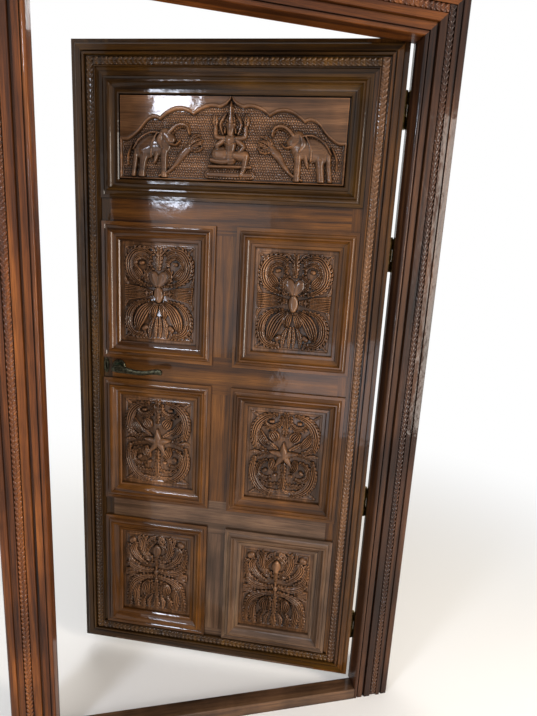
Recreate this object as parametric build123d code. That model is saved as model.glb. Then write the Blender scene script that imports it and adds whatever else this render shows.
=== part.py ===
from build123d import *
import math
import os

# A carved teak entrance door: one framed leaf with an arched top panel and six
# carved panels, hung on four butt hinges in its rebated timber frame, with a
# horizontal mortise lock and lever handles. Millimetres, +Z up, +X to the hinge
# side, +Y into the room that the leaf opens to. The origin is the middle of the
# sill's underside. The leaf is drawn shut and then swung to its rest angle.

os.makedirs("parts", exist_ok=True)

# Leaf
leaf_w = 990.0
leaf_h = 2060.0
leaf_t = 40.0
rest_angle = 20.0

# Running gaps round the leaf
lock_gap = 3.0
hinge_gap = 10.0
head_gap = 3.0
floor_gap = 8.0
stop_gap = 1.0

# Frame round the leaf
frame_face = 125.0
reveal = 52.0
rebate = 15.0
sill_h = 38.0
holdfast_shares = (0.15, 0.5, 0.85)
holdfast_spacing = 60.0
holdfast_hole_r = 3.0
holdfast_hole_depth = 45.0

# Layout of the leaf, measured on its near face from the lock edge and the top
border_w = 90.0
bottom_border_w = 80.0
column_gap = 66.0
row_gap = 70.0
row_count = 3
top_share = 3 / 14

# Joinery of the leaf
moulding_w = 58.0
moulding_lap = 28.0
moulding_crest = 18.0
panel_set_back = 8.0
panel_t = 24.0
tongue_t = 12.0
tongue_len = 10.0
groove_depth = 12.0
fit_clear = 0.2
tenon_len = 60.0
muntin_tenon_len = 30.0
tenon_shoulder = 22.0

# Border moulding of the leaf
border_start = 14.0
border_end = 88.0
border_floor = 5.0
border_band = (49.0, 74.0)

# Carved leaf chain on the border, the jambs and the head
leaf_pitch = 32.0
chain_leaf_w = 19.0
chain_rise = 4.5
frame_band = (61.0, 83.0)
frame_band_depth = 6.0

# Carved fields
field_margin = 13.0
ground_rise = 1.5
carving_sink = 0.5
arch_rise = 9.0
arch_side_margin = 2.0
arch_foot = 8.0
arch_side = 7.0
arch_crown = 3.0

# Hinges
hinge_shares = (0.0825, 0.318, 0.7185, 0.9175)
hinge_len = 100.0
plate_w = 30.0
plate_t = 3.0
knuckle_r = hinge_gap / 2 + plate_t
pin_offset = 8.0
pin_r = 4.0
pin_clear = 0.06
knuckle_gap = 0.4
pin_head_r = 6.5
pin_head_h = 4.0
screw_r = 2.0
screw_head_r = 4.0
screw_len = 25.0
screw_clear = 0.1
screws_per_plate = 3

# Lock
lock_lift = 5.0
spindle_set = 142.0
key_set = 97.5
case_len = 168.0
case_h = 60.0
case_t = 18.0
case_wall = 2.0
forend_t = 3.0
forend_w = 22.0
forend_h = 130.0
latch_w = 12.0
latch_h = 16.0
latch_rise = 14.0
latch_out = 12.0
latch_travel = 11.0
latch_tail_t = 3.0
dead_w = 12.0
dead_h = 18.0
dead_drop = 17.0
dead_len = 84.0
dead_travel = 18.0
slide_clear = 0.3
follower_r = 9.0
follower_arm = 18.0
follower_tip_r = 2.5
follower_slack = 0.8
spring_arm = 14.0
spring_r = 3.0
spring_wire = 0.8
spring_turns = 5
cavity_top = 24.0
spindle_side = 8.0
key_slot = (5.0, 18.0)
key_plate = (17.0, 50.0)
rose_r = 23.0
rose_t = 6.0
neck_r = 9.0
neck_clear = 0.3
lever_stand = 50.0
socket_grip = 0.5
lever_t = 10.0
lever_len = 168.0
lever_h = 17.0
strike_t = 2.0
strike_w = 26.0
strike_h = 110.0

# Places worked out from the sizes
frame_depth = reveal + stop_gap + leaf_t
front_y = -frame_depth / 2
back_y = frame_depth / 2
stop_y = front_y + reveal
face_y = stop_y + stop_gap
rebate_w = leaf_w + lock_gap + hinge_gap
opening_w = rebate_w - 2 * rebate
leaf_x0 = -rebate_w / 2 + lock_gap
leaf_x1 = leaf_x0 + leaf_w
leaf_z0 = sill_h + floor_gap
leaf_z1 = leaf_z0 + leaf_h
lip_z = leaf_z1 + head_gap - rebate
frame_top = lip_z + frame_face
frame_half = opening_w / 2 + frame_face
pin_x = rebate_w / 2 - hinge_gap / 2
pin_y = back_y + pin_offset

column_w = (leaf_w - 2 * border_w - column_gap) / 2
panels_h = leaf_h - border_w - bottom_border_w - row_count * row_gap
top_h = panels_h * top_share
row_h = (panels_h - top_h) / row_count
row_tops = [border_w + top_h + row_gap + i * (row_h + row_gap) for i in range(row_count)]
column_lefts = [border_w, border_w + column_w + column_gap]
rail_names = ["rail_frieze", "rail_lock", "rail_lower"]
row_names = ["upper", "middle", "lower"]
side_names = ["lock", "hinge"]
lock_v = row_tops[1] - row_gap / 2 - lock_lift
arch_base = border_w + top_h - moulding_w - arch_foot
arch_h = top_h - 2 * moulding_w - arch_foot - arch_crown
arch_half = leaf_w / 2 - border_w - moulding_w - arch_side_margin - arch_side
field_w = column_w - 2 * (moulding_w + field_margin)
field_h = row_h - 2 * (moulding_w + field_margin)


def block(x0, x1, y0, y1, z0, z1):
    """A box between two corners."""
    middle = Pos((x0 + x1) / 2, (y0 + y1) / 2, (z0 + z1) / 2)
    return middle * Box(x1 - x0, y1 - y0, z1 - z0)


def leaf_block(u0, u1, v0, v1, d0, d1):
    """A box on the shut leaf: u from the lock edge, v down from the top, d behind the near face."""
    return block(leaf_x0 + u0, leaf_x0 + u1, face_y + d0, face_y + d1, leaf_z1 - v1, leaf_z1 - v0)


def rod(x, y, z, radius, length, axis):
    """A cylinder that starts at a point and runs along an axis."""
    start = Plane(origin=(x, y, z), z_dir=axis)
    return extrude(start * Circle(radius), length)


def swing(shape):
    """Turns a piece of the shut leaf to the rest angle about the hinge pins."""
    return Pos(pin_x, pin_y, 0) * Rot(0, 0, -rest_angle) * Pos(-pin_x, -pin_y, 0) * shape


def save(name, *shapes):
    """Writes one node. Several shapes become a group of separate solids."""
    solids = [solid for shape in shapes for solid in shape.solids()]
    export_step(solids[0] if len(solids) == 1 else Compound(solids), "parts/" + name + ".step")


def xz_prism(points, y0, y1):
    """A straight prism over an outline in the XZ plane."""
    base = Plane(origin=(0, y1, 0), x_dir=(1, 0, 0), z_dir=(0, -1, 0))
    return extrude(base * make_face(Polyline(*points, close=True)), y1 - y0)


# The four sides of a mitred frame: its outer rectangle, and for each side the
# start corner, the direction across the moulding and the direction along it.
def mitred_sides(x0, x1, z0, z1, across, make_side):
    """Four mitred lengths round a rectangle, from its outer edge inwards by across."""
    sides = {
        "top": ((x1, z1), (0, 0, -1), (-1, 0, 0), x1 - x0),
        "bottom": ((x0, z0), (0, 0, 1), (1, 0, 0), x1 - x0),
        "lock": ((x0, z1), (1, 0, 0), (0, 0, -1), z1 - z0),
        "hinge": ((x1, z0), (-1, 0, 0), (0, 0, 1), z1 - z0),
    }
    outer = {"a": (x0, z0), "b": (x1, z0), "c": (x1, z1), "d": (x0, z1)}
    inner = {"a": (x0 + across, z0 + across), "b": (x1 - across, z0 + across),
             "c": (x1 - across, z1 - across), "d": (x0 + across, z1 - across)}
    ends = {"top": "dc", "bottom": "ab", "lock": "ad", "hinge": "bc"}
    made = {}
    for name, (corner, inward, along, length) in sides.items():
        place = Plane(origin=(corner[0], face_y, corner[1]), x_dir=inward, z_dir=along)
        first, second = ends[name]
        outline = [outer[first], outer[second], inner[second], inner[first]]
        mitre = xz_prism(outline, face_y - frame_depth, face_y + frame_depth)
        made[name] = (place.location * make_side(name, length)) & mitre
    return made


def profile_run(edges, length):
    """Extrudes a closed section, given as edges across and outwards, along its length."""
    return extrude(make_face(edges), length)


def ridged_leaf(points, height):
    """A chip-carved leaf: a ridge over a middle line of (x, y, half width), with two flat flanks."""
    last = len(points) - 1
    left, right, ridge = [], [], []
    for i, (x, y, w) in enumerate(points):
        before, after = points[max(i - 1, 0)], points[min(i + 1, last)]
        run = Vector(after[0] - before[0], after[1] - before[1]).normalized()
        left.append(Vector(x - run.Y * w, y + run.X * w, -carving_sink))
        right.append(Vector(x + run.Y * w, y - run.X * w, -carving_sink))
        ridge.append(Vector(x, y, height * min(1, 0.35 + w / 12)))
    flanks = [right + left[::-1], [left[0], ridge[0], right[0]], [left[last], right[last], ridge[last]]]
    for i in range(last):
        flanks += [[left[i], left[i + 1], ridge[i + 1]], [left[i], ridge[i + 1], ridge[i]],
                   [right[i], ridge[i + 1], right[i + 1]], [right[i], ridge[i], ridge[i + 1]]]
    return Solid(Shell([Face(Wire.make_polygon(flank, close=True)) for flank in flanks]))


def chain(centre, floor, start, end):
    """Pointed leaves end to end along a band."""
    count = int((end - start) // leaf_pitch)
    first = (start + end - count * leaf_pitch) / 2
    base = Plane(origin=(centre, floor, 0), x_dir=(1, 0, 0), z_dir=(0, 1, 0))
    middle_line = [(0, leaf_pitch / 2, 1), (0, leaf_pitch / 10, chain_leaf_w / 2), (0, -leaf_pitch / 2, 1)]
    one = base.location * ridged_leaf(middle_line, chain_rise)
    return [Pos(0, 0, first + (i + 0.5) * leaf_pitch) * one for i in range(count)]


# The door frame's section: across from the lip, outwards from the front face
def frame_section():
    reed = 12.0
    steps = [(reed, -6), (14, -6), (14, -2), (30, -2), (32, -9), (37, -9), (39, -1), (59, -1),
             (frame_band[0], -frame_band_depth), (frame_band[1], -frame_band_depth),
             (frame_band[1], -1.5), (95, -1.5), (97, -7), (102, -7), (104, -3),
             (frame_face - 4, -3), (frame_face, -7)]
    bead = ThreePointArc((0, -6), (reed / 2, 0), (reed, -6))
    back = [(frame_face, -7), (frame_face, -frame_depth), (rebate, -frame_depth),
            (rebate, -reveal), (0, -reveal), (0, -6)]
    return Curve() + [bead, Polyline(*steps), Polyline(*back)]


def frame_member(length, chain_start, chain_end):
    middle = (frame_band[0] + frame_band[1]) / 2
    plain = profile_run(frame_section(), length)
    return plain.fuse(*chain(middle, -frame_band_depth, chain_start, chain_end))


def make_door_frame():
    half = opening_w / 2
    chain_top = lip_z + (frame_band[0] + frame_band[1]) / 2 - leaf_pitch / 2
    to_mitre = frame_top - chain_top
    lock_plane = Plane(origin=(-half, front_y, 0), x_dir=(-1, 0, 0), z_dir=(0, 0, 1))
    hinge_plane = Plane(origin=(half, front_y, frame_top), x_dir=(1, 0, 0), z_dir=(0, 0, -1))
    head_plane = Plane(origin=(-frame_half, front_y, lip_z), x_dir=(0, 0, 1), z_dir=(1, 0, 0))
    jamb_outline = [(half, 0), (frame_half, 0), (frame_half, frame_top), (half, lip_z)]
    head_outline = [(-half, lip_z), (half, lip_z), (frame_half, frame_top), (-frame_half, frame_top)]
    mirrored = [(-x, z) for x, z in jamb_outline]
    room = (front_y - 10, back_y + 10)
    lock = lock_plane.location * frame_member(frame_top, leaf_pitch / 2, chain_top)
    lock = lock & xz_prism(mirrored, *room)
    hinge = hinge_plane.location * frame_member(frame_top, to_mitre, frame_top - leaf_pitch / 2)
    hinge = hinge & xz_prism(jamb_outline, *room)
    across = 2 * frame_half
    inset = frame_face - (frame_band[0] + frame_band[1]) / 2 + leaf_pitch / 2
    head = head_plane.location * frame_member(across, inset, across - inset)
    head = head & xz_prism(head_outline, *room)
    for share in holdfast_shares:
        for step in (-0.5, 0.5):
            z = share * frame_top + step * holdfast_spacing
            lock -= rod(-frame_half, 0, z, holdfast_hole_r, holdfast_hole_depth, (1, 0, 0))
            hinge -= rod(frame_half, 0, z, holdfast_hole_r, holdfast_hole_depth, (-1, 0, 0))
    sill = block(-half, half, front_y, stop_y, 0, sill_h)
    long_edges = sill.edges().filter_by(Axis.X).sort_by(Axis.Z)[-2:]
    sill = fillet(long_edges, 4)
    return lock, hinge, head, sill


# Leaf framing: sight openings, rails, stiles and muntins
def openings():
    """The sight rectangle of every panel, as u0, u1, v0, v1."""
    lap = moulding_lap
    spots = {"arch": (border_w + lap, leaf_w - border_w - lap,
                      border_w + lap, border_w + top_h - lap)}
    for row, top in zip(row_names, row_tops):
        for side, left in zip(side_names, column_lefts):
            spots[row + "_" + side] = (left + lap, left + column_w - lap, top + lap, top + row_h - lap)
    return spots


def grooves():
    cuts = []
    middle = leaf_t / 2
    half = tongue_t / 2
    for u0, u1, v0, v1 in openings().values():
        cuts.append(leaf_block(u0 - groove_depth, u1 + groove_depth, v0 - groove_depth,
                               v1 + groove_depth, middle - half, middle + half))
    return cuts


def cut_all(body, cutters):
    """Cuts a body by those cutters whose boxes reach it."""
    own = body.bounding_box()
    for cutter in cutters:
        box = cutter.bounding_box()
        apart = (box.min.X >= own.max.X or box.max.X <= own.min.X
                 or box.min.Y >= own.max.Y or box.max.Y <= own.min.Y
                 or box.min.Z >= own.max.Z or box.max.Z <= own.min.Z)
        if not apart:
            body = body - cutter
    return body


def make_leaf_frame(lock_cuts, hinge_cuts):
    spots = openings()
    stile_w = border_w + moulding_lap
    cheek = (leaf_t / 2 - tongue_t / 2, leaf_t / 2 + tongue_t / 2)
    bounds = {"rail_top": (0, spots["arch"][2])}
    last = spots["arch"][3]
    for name, row in zip(rail_names, row_names):
        bounds[name] = (last, spots[row + "_lock"][2])
        last = spots[row + "_lock"][3]
    bounds["rail_bottom"] = (last, leaf_h)
    panel_cuts = grooves()
    parts = {}
    mortises = []
    for name, (v0, v1) in bounds.items():
        rail = leaf_block(stile_w, leaf_w - stile_w, v0, v1, 0, leaf_t)
        rail = cut_all(rail, panel_cuts)
        t0, t1 = v0 + tenon_shoulder, v1 - tenon_shoulder
        for u0, u1 in ((stile_w - tenon_len, stile_w), (leaf_w - stile_w, leaf_w - stile_w + tenon_len)):
            rail = rail + leaf_block(u0, u1, t0, t1, cheek[0] + fit_clear, cheek[1] - fit_clear)
            mortises.append(leaf_block(u0 - fit_clear, u1 + fit_clear, t0 - fit_clear, t1 + fit_clear,
                                       *cheek))
        parts[name] = rail
    muntin_u = (spots["upper_lock"][1], spots["upper_hinge"][0])
    m0, m1 = muntin_u[0] + tenon_shoulder, muntin_u[1] - tenon_shoulder
    rail_mortises = []
    for row in row_names:
        v0, v1 = spots[row + "_lock"][2:]
        muntin = cut_all(leaf_block(*muntin_u, v0, v1, 0, leaf_t), panel_cuts)
        for w0, w1 in ((v0 - muntin_tenon_len, v0), (v1, v1 + muntin_tenon_len)):
            muntin = muntin + leaf_block(m0, m1, w0, w1, cheek[0] + fit_clear, cheek[1] - fit_clear)
            rail_mortises.append(leaf_block(m0 - fit_clear, m1 + fit_clear, w0 - fit_clear,
                                            w1 + fit_clear, *cheek))
        parts["muntin_" + row] = muntin
    for name in bounds:
        parts[name] = cut_all(cut_all(parts[name], rail_mortises), lock_cuts)
    for side, u0 in (("lock", 0), ("hinge", leaf_w - stile_w)):
        stile = leaf_block(u0, u0 + stile_w, 0, leaf_h, 0, leaf_t)
        parts["stile_" + side] = cut_all(stile, panel_cuts + mortises + lock_cuts + hinge_cuts)
    return parts


# Panels: a tongued board with its carved field
def panel_board(u0, u1, v0, v1):
    reach = tongue_len
    middle = leaf_t / 2
    half = tongue_t / 2 - fit_clear
    board = leaf_block(u0 + fit_clear, u1 - fit_clear, v0 + fit_clear, v1 - fit_clear,
                       panel_set_back, panel_set_back + panel_t)
    return board + leaf_block(u0 - reach, u1 + reach, v0 - reach, v1 + reach, middle - half, middle + half)


def carving(middle, pairs, scale):
    """The leaves of one pattern at its field's size."""
    both = middle + pairs + [(h, *[(-x, y, w) for x, y, w in line]) for h, *line in pairs]
    return [ridged_leaf([(x * scale[0], y * scale[1], w) for x, y, w in line], h) for h, *line in both]


def carved_panel(spot, middle, pairs):
    """A panel with a raised ground that its leaves stand on."""
    u0, u1, v0, v1 = spot
    rest = moulding_w - moulding_lap + field_margin
    ground = leaf_block(u0 + rest, u1 - rest, v0 + rest, v1 - rest,
                        panel_set_back - ground_rise, panel_set_back)
    centre = (leaf_x0 + (u0 + u1) / 2, face_y + panel_set_back, leaf_z1 - (v0 + v1) / 2)
    place = Plane(origin=centre, x_dir=(1, 0, 0), z_dir=(0, -1, 0)).location
    scale = (field_w / drawn_field[0], field_h / drawn_field[1])
    leaves = [place * leaf for leaf in carving(middle, pairs, scale)]
    return (panel_board(*spot) + ground).fuse(*leaves)


# The carving, drawn on a field of this size. Each row is one leaf, lobe or limb: its height over the
# board, then its middle line as (x, y, half width) from the field's centre. A pair is also mirrored.
drawn_field = (224.0, 300.0)
lotus_middle = [
    (13, (0, -23, 12), (0, 0, 19), (0, 21, 12)),
    (9, (0, 82, 6), (0, 108, 10), (0, 142, 3)),
]
lotus_pairs = [
    (13, (2, 37, 10), (26, 38, 13), (43, 54, 11), (35, 74, 7)),
    (12, (20, 26, 4), (58, 34, 8), (95, 62, 12), (104, 100, 12), (84, 134, 11), (48, 141, 10),
     (20, 124, 6)),
    (10, (80, 88, 8), (77, 110, 10), (52, 122, 10), (29, 108, 8), (30, 90, 5)),
    (13, (49, 98, 12), (56, 97, 12)),
    (10, (50, 52, 8), (66, 64, 14), (76, 80, 8)),
    (10, (20, 2, 8), (58, 3, 18), (107, 3, 23)),
    (14, (17, -30, 7), (44, -54, 15), (66, -88, 15), (74, -118, 6)),
    (12, (34, -26, 4), (78, -38, 9), (102, -70, 12), (102, -108, 12), (80, -136, 11),
     (46, -141, 8)),
    (12, (44, -112, 10), (50, -116, 10)),
    (12, (6, -34, 9), (20, -54, 14), (18, -78, 6)),
    (9, (6, -84, 4), (8, -114, 8), (7, -146, 3)),
    (9, (17, -86, 5), (29, -114, 9), (30, -145, 3)),
    (7, (94, 134, 5), (108, 145, 3)),
]
star_middle = [
    (13, (0, -4, 15), (0, 26, 14), (0, 60, 3)),
    (13, (0, 2, 15), (0, -28, 13), (0, -62, 5)),
    (10, (0, -66, 6), (0, -92, 12), (0, -120, 6)),
    (9, (0, 70, 5), (0, 106, 9), (0, 147, 5)),
]
star_pairs = [
    (13, (2, 0, 13), (34, 1, 13), (72, -2, 4)),
    (12, (30, 146, 5), (66, 136, 10), (96, 104, 12), (107, 60, 11), (103, 16, 6)),
    (12, (103, -8, 6), (107, -58, 11), (96, -102, 12), (68, -134, 11), (26, -146, 6)),
    (11, (10, 143, 6), (14, 112, 10), (36, 94, 10), (64, 98, 9), (74, 118, 7)),
    (12, (40, 122, 9), (48, 122, 9)),
    (14, (24, 56, 11), (32, 68, 18), (41, 81, 11)),
    (10, (54, 34, 5), (76, 48, 11), (88, 80, 5)),
    (9, (62, 14, 5), (84, 22, 9), (95, 44, 4)),
    (9, (21, 23, 5), (40, 36, 8), (56, 50, 5)),
    (13, (40, -18, 8), (36, -38, 13), (27, -54, 7)),
    (12, (27, -70, 11), (34, -71, 11)),
    (11, (56, -24, 5), (83, -38, 9), (87, -70, 10), (62, -90, 9), (40, -90, 5)),
    (12, (59, -52, 11), (65, -58, 11)),
    (9, (12, -106, 5), (36, -111, 9), (66, -116, 8), (84, -106, 4)),
    (9, (8, -126, 5), (26, -131, 8), (50, -139, 5)),
]
spine_middle = [
    (13, (0, 78, 10), (0, 94, 17), (0, 110, 9)),
    (11, (0, 82, 8), (0, 40, 8), (0, -4, 8), (0, -60, 9), (0, -104, 8)),
    (10, (0, -102, 7), (0, -124, 11), (0, -148, 4)),
]
spine_pairs = [
    (10, (36, 82, 5), (26, 108, 8), (2, 130, 5)),
    (12, (84, 126, 14), (91, 120, 14)),
    (9, (18, 148, 6), (26, 136, 9), (36, 116, 4)),
    (10, (24, 44, 5), (46, 92, 9), (48, 147, 4)),
    (10, (42, 38, 5), (62, 86, 9), (64, 147, 4)),
    (10, (58, 34, 5), (82, 74, 10), (78, 106, 4)),
    (10, (78, 38, 5), (100, 70, 9), (106, 104, 4)),
    (11, (17, 42, 5), (17, 64, 7), (33, 74, 7), (45, 60, 5)),
    (13, (110, 43, 3), (78, 18, 10), (38, 8, 11), (6, 14, 7)),
    (12, (74, -3, 5), (94, -4, 13), (111, -4, 9)),
    (13, (4, -12, 7), (46, -18, 11), (84, -42, 11), (104, -90, 5)),
    (13, (30, -36, 7), (40, -60, 16), (34, -88, 7)),
    (10, (64, -52, 5), (80, -90, 10), (72, -148, 4)),
    (10, (85, -66, 5), (101, -106, 9), (97, -148, 4)),
    (10, (44, -94, 5), (56, -118, 9), (50, -148, 4)),
    (10, (18, -98, 4), (30, -120, 9), (25, -148, 3)),
]

# The figure and the elephants, drawn from the middle of the arch's base line
drawn_arch = (334.0, 225.0)
figure_middle = [
    (10, (-64, 15, 13), (0, 14, 14), (64, 15, 13)),
    (12, (-62, 37, 5), (62, 37, 5)),
    (15, (0, 58, 20), (0, 84, 16), (0, 108, 21)),
    (17, (-36, 70, 21), (-22, 70, 23)),
    (15, (-54, 54, 8), (-24, 50, 10), (10, 54, 8)),
    (16, (16, 68, 13), (42, 66, 17)),
    (15, (46, 60, 11), (44, 36, 9), (36, 14, 8)),
    (17, (0, 124, 10), (0, 137, 14), (0, 148, 12)),
    (15, (0, 152, 15), (0, 172, 12), (0, 192, 7), (0, 210, 2)),
]
figure_pairs = [
    (14, (20, 108, 9), (39, 92, 8), (28, 76, 7)),
    (13, (18, 114, 8), (42, 118, 8), (45, 144, 6)),
    (12, (45, 146, 6), (47, 161, 11), (46, 178, 3)),
    (17, (16, 101, 3), (0, 94, 3)),
    (10, (23, 126, 5), (31, 152, 6), (15, 178, 4)),
]
elephant_pairs = [
    (15, (206, 94, 25), (240, 96, 29), (268, 82, 25)),
    (17, (208, 124, 9), (240, 128, 13), (272, 108, 11), (286, 82, 5)),
    (17, (196, 116, 18), (182, 102, 16)),
    (19, (207, 122, 6), (215, 103, 13), (206, 82, 6)),
    (16, (186, 124, 12), (168, 141, 10), (148, 148, 9), (130, 142, 8), (124, 124, 5)),
    (18, (180, 94, 4.5), (163, 92, 3.5), (150, 103, 2)),
    (14, (201, 82, 13), (202, 46, 11), (201, 7, 11)),
    (13, (224, 76, 9), (228, 52, 7), (232, 40, 3)),
    (14, (264, 74, 18), (268, 42, 12), (272, 7, 12)),
    (13, (289, 76, 9), (293, 40, 8), (298, 7, 8)),
    (11, (300, 92, 4), (314, 64, 4), (315, 36, 4)),
    (14, (126, 82, 8), (108, 97, 18), (86, 106, 5)),
    (12, (122, 102, 6), (108, 116, 9), (92, 120, 3)),
    (12, (116, 80, 6), (98, 80, 9), (84, 88, 3)),
    (11, (122, 88, 12), (143, 70, 12), (160, 46, 8), (184, 21, 5), (216, 6, 4)),
]

# The cusped arch, drawn like its figures: each lobe is an arc through its crown
arch_tip = (0.0, 225.0)
arch_lobes = [
    ((11.0, 206.0), (36.0, 195.0)),
    ((74.0, 195.0), (113.0, 174.0)),
    ((163.0, 187.0), (215.0, 159.0)),
    ((238.0, 164.0), (262.0, 149.0)),
    ((289.0, 120.0), (318.0, 103.0)),
]


def arch_outline():
    wide, high = arch_half / drawn_arch[0], arch_h / drawn_arch[1]
    edges = []
    for side in (1, -1):
        def at(point):
            return (side * point[0] * wide, point[1] * high)
        last = arch_tip
        for crown, cusp in arch_lobes:
            edges.append(ThreePointArc(at(last), at(crown), at(cusp)))
            last = cusp
        shoulder = (drawn_arch[0], last[1])
        edges.append(Polyline(at(last), at(shoulder), at((drawn_arch[0], 0))))
    edges.append(Line((-arch_half, 0), (arch_half, 0)))
    return Curve() + edges


def arch_panel(u0, u1, v0, v1):
    rest = moulding_w - moulding_lap + arch_side_margin
    slab = leaf_block(u0 + rest, u1 - rest, v0 + rest, v1 - rest,
                      panel_set_back - arch_rise, panel_set_back)
    foot = (leaf_x0 + leaf_w / 2, face_y + panel_set_back, leaf_z1 - arch_base)
    place = Plane(origin=foot, x_dir=(1, 0, 0), z_dir=(0, -1, 0))
    recess = extrude(place * make_face(arch_outline()), arch_rise + 1)
    scale = (arch_half / drawn_arch[0], arch_h / drawn_arch[1])
    figures = carving(figure_middle, figure_pairs + elephant_pairs, scale)
    board = panel_board(u0, u1, v0, v1) + (slab - recess)
    return board.fuse(*[place.location * figure for figure in figures])


def moulding_section():
    """The bolection moulding: across from its outer edge, outwards from the leaf's face."""
    crest = moulding_crest
    lap = moulding_lap
    end = moulding_w
    outer = Polyline((lap, 0), (0, 0), (0, 8), (10, 8), (12, 6))
    cove = ThreePointArc((12, 6), (19, 9), (lap - 4, crest))
    top = Line((lap - 4, crest), (lap, crest))
    slope = ThreePointArc((lap, crest), (lap + 9, 6.5), (end - 12, 2))
    inner = Polyline((end - 12, 2), (end - 11, 4), (end - 3, 4), (end, 1),
                     (end, -panel_set_back), (lap, -panel_set_back), (lap, 0))
    return Curve() + [outer, cove, top, slope, inner]


def make_mouldings():
    made = {}
    for name, (u0, u1, v0, v1) in openings().items():
        lap = moulding_lap
        sides = mitred_sides(leaf_x0 + u0 - lap, leaf_x0 + u1 + lap, leaf_z1 - v1 - lap,
                             leaf_z1 - v0 + lap, moulding_w,
                             lambda name, length: profile_run(moulding_section(), length))
        made["moulding_" + name] = [sides[side] for side in sides]
    return made


def border_section(end):
    a, b = border_band
    start, floor = border_start, border_floor
    return Polyline((start, 0), (start, 7), (start + 3, 10), (start + 19, 10), (start + 22, 6),
                    (a - 11, 6), (a - 10, 13), (a - 4, 13), (a - 2, floor), (b, floor),
                    (b, 9), (b + 3, 9), (b + 4, 4), (end, 3), (end, 0), close=True)


def make_border():
    middle = (border_band[0] + border_band[1]) / 2

    def side(name, length):
        end = border_end - (border_w - bottom_border_w if name == "bottom" else 0)
        plain = profile_run(border_section(end), length)
        return plain.fuse(*chain(middle, border_floor, middle + leaf_pitch / 2,
                                 length - middle - leaf_pitch / 2))
    return mitred_sides(leaf_x0, leaf_x1, leaf_z0, leaf_z1, border_end, side)


# Hinges: three knuckles, two on the frame's plate and one on the door's
def hinge_z(share):
    return leaf_z0 + share * leaf_h - hinge_len / 2


def screw_heights():
    step = hinge_len / screws_per_plate
    return [(i + 0.5) * step for i in range(screws_per_plate)]


def screw(x, y, z, axis, clear=0.0):
    """A countersunk wood screw, head first, that runs in along an axis."""
    place = Plane(origin=(x, y, z), z_dir=axis)
    head_h = screw_head_r - screw_r
    section = Polyline((0, 0), (screw_head_r + clear, 0), (screw_r + clear, head_h),
                       (screw_r + clear, screw_len + clear), (0, screw_len + clear), close=True)
    return place.location * revolve(Plane.XZ * make_face(section), Axis.Z)


def make_hinges():
    third = hinge_len / 3
    bore = pin_r + pin_clear
    plate_y = (back_y - plate_w, back_y)
    screw_y = back_y - plate_w / 2
    frame_x = (pin_x + knuckle_r - plate_t, pin_x + knuckle_r)
    door_x = (pin_x - knuckle_r, pin_x - knuckle_r + plate_t)
    frame_plates, door_plates, pins, frame_screws, door_screws = [], [], [], [], []
    jamb_cuts, leaf_cuts = [], []
    for share in hinge_shares:
        z = hinge_z(share)
        frame_plate = block(*frame_x, *plate_y, z, z + hinge_len)
        door_plate = block(*door_x, *plate_y, z, z + hinge_len)
        for first, on_frame in ((0, True), (1, False), (2, True)):
            low = z + first * third + (knuckle_gap / 2 if first else 0)
            high = z + (first + 1) * third - (knuckle_gap / 2 if first < 2 else 0)
            knuckle = rod(pin_x, pin_y, low, knuckle_r, high - low, (0, 0, 1))
            if on_frame:
                frame_plate += knuckle + block(*frame_x, back_y, pin_y, low, high)
            else:
                door_plate += knuckle + block(*door_x, back_y, pin_y, low, high)
        through = rod(pin_x, pin_y, z - 1, bore, hinge_len + 2, (0, 0, 1))
        frame_plate -= through
        door_plate -= through
        shank = rod(pin_x, pin_y, z, pin_r, hinge_len + fit_clear, (0, 0, 1))
        head = rod(pin_x, pin_y, z + hinge_len + fit_clear, pin_head_r, pin_head_h, (0, 0, 1))
        pins.append(shank + head)
        for rise in screw_heights():
            spot = (screw_y, z + rise)
            frame_screws.append(screw(frame_x[0], *spot, (1, 0, 0)))
            door_screws.append(screw(door_x[1], *spot, (-1, 0, 0)))
            frame_plate -= screw(frame_x[0], *spot, (1, 0, 0), screw_clear)
            door_plate -= screw(door_x[1], *spot, (-1, 0, 0), screw_clear)
            jamb_cuts.append(screw(frame_x[0], *spot, (1, 0, 0), screw_clear))
            leaf_cuts.append(screw(door_x[1], *spot, (-1, 0, 0), screw_clear))
        jamb_cuts.append(block(rebate_w / 2 - 1, frame_x[1], plate_y[0], back_y + 1, z, z + hinge_len))
        leaf_cuts.append(block(door_x[0], leaf_x1 + 1, plate_y[0], back_y + 1, z, z + hinge_len))
        frame_plates.append(frame_plate)
        door_plates.append(door_plate)
    return frame_plates, door_plates, pins, frame_screws, door_screws, jamb_cuts, leaf_cuts


# Lock: everything about the spindle's height, with d behind the leaf's near face
mid_d = leaf_t / 2


def lock_block(u0, u1, w0, w1, d0, d1):
    """A box in the lock: w above the spindle's height, d from the leaf's middle."""
    return leaf_block(u0, u1, lock_v - w1, lock_v - w0, mid_d + d0, mid_d + d1)


def cross_rod(u, w, d0, d1, radius):
    """A round bar through the leaf's thickness."""
    return rod(leaf_x0 + u, face_y + mid_d + d0, leaf_z1 - lock_v + w, radius, d1 - d0, (0, 1, 0))


def key_cut(d0, d1):
    w, h = key_slot
    return lock_block(key_set - w / 2, key_set + w / 2, -h / 2, h / 2, d0, d1)


def latch_shape(clear=0.0, travel=0.0):
    """The latch bolt with its tail and claw, or the room that it slides in."""
    half_t, half_h = latch_w / 2 + clear, latch_h / 2 + clear
    claw = spindle_set + follower_tip_r + follower_slack
    head_end = 34.0
    bolt = lock_block(-latch_out, head_end + travel + clear, latch_rise - half_h, latch_rise + half_h,
                      -half_t, half_t)
    tail = lock_block(head_end - 1, claw + 6 + travel + clear, latch_rise - 3 - clear,
                      latch_rise + 5 + clear, half_t - latch_tail_t - 2 * clear, half_t)
    return bolt, tail, claw


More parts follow.
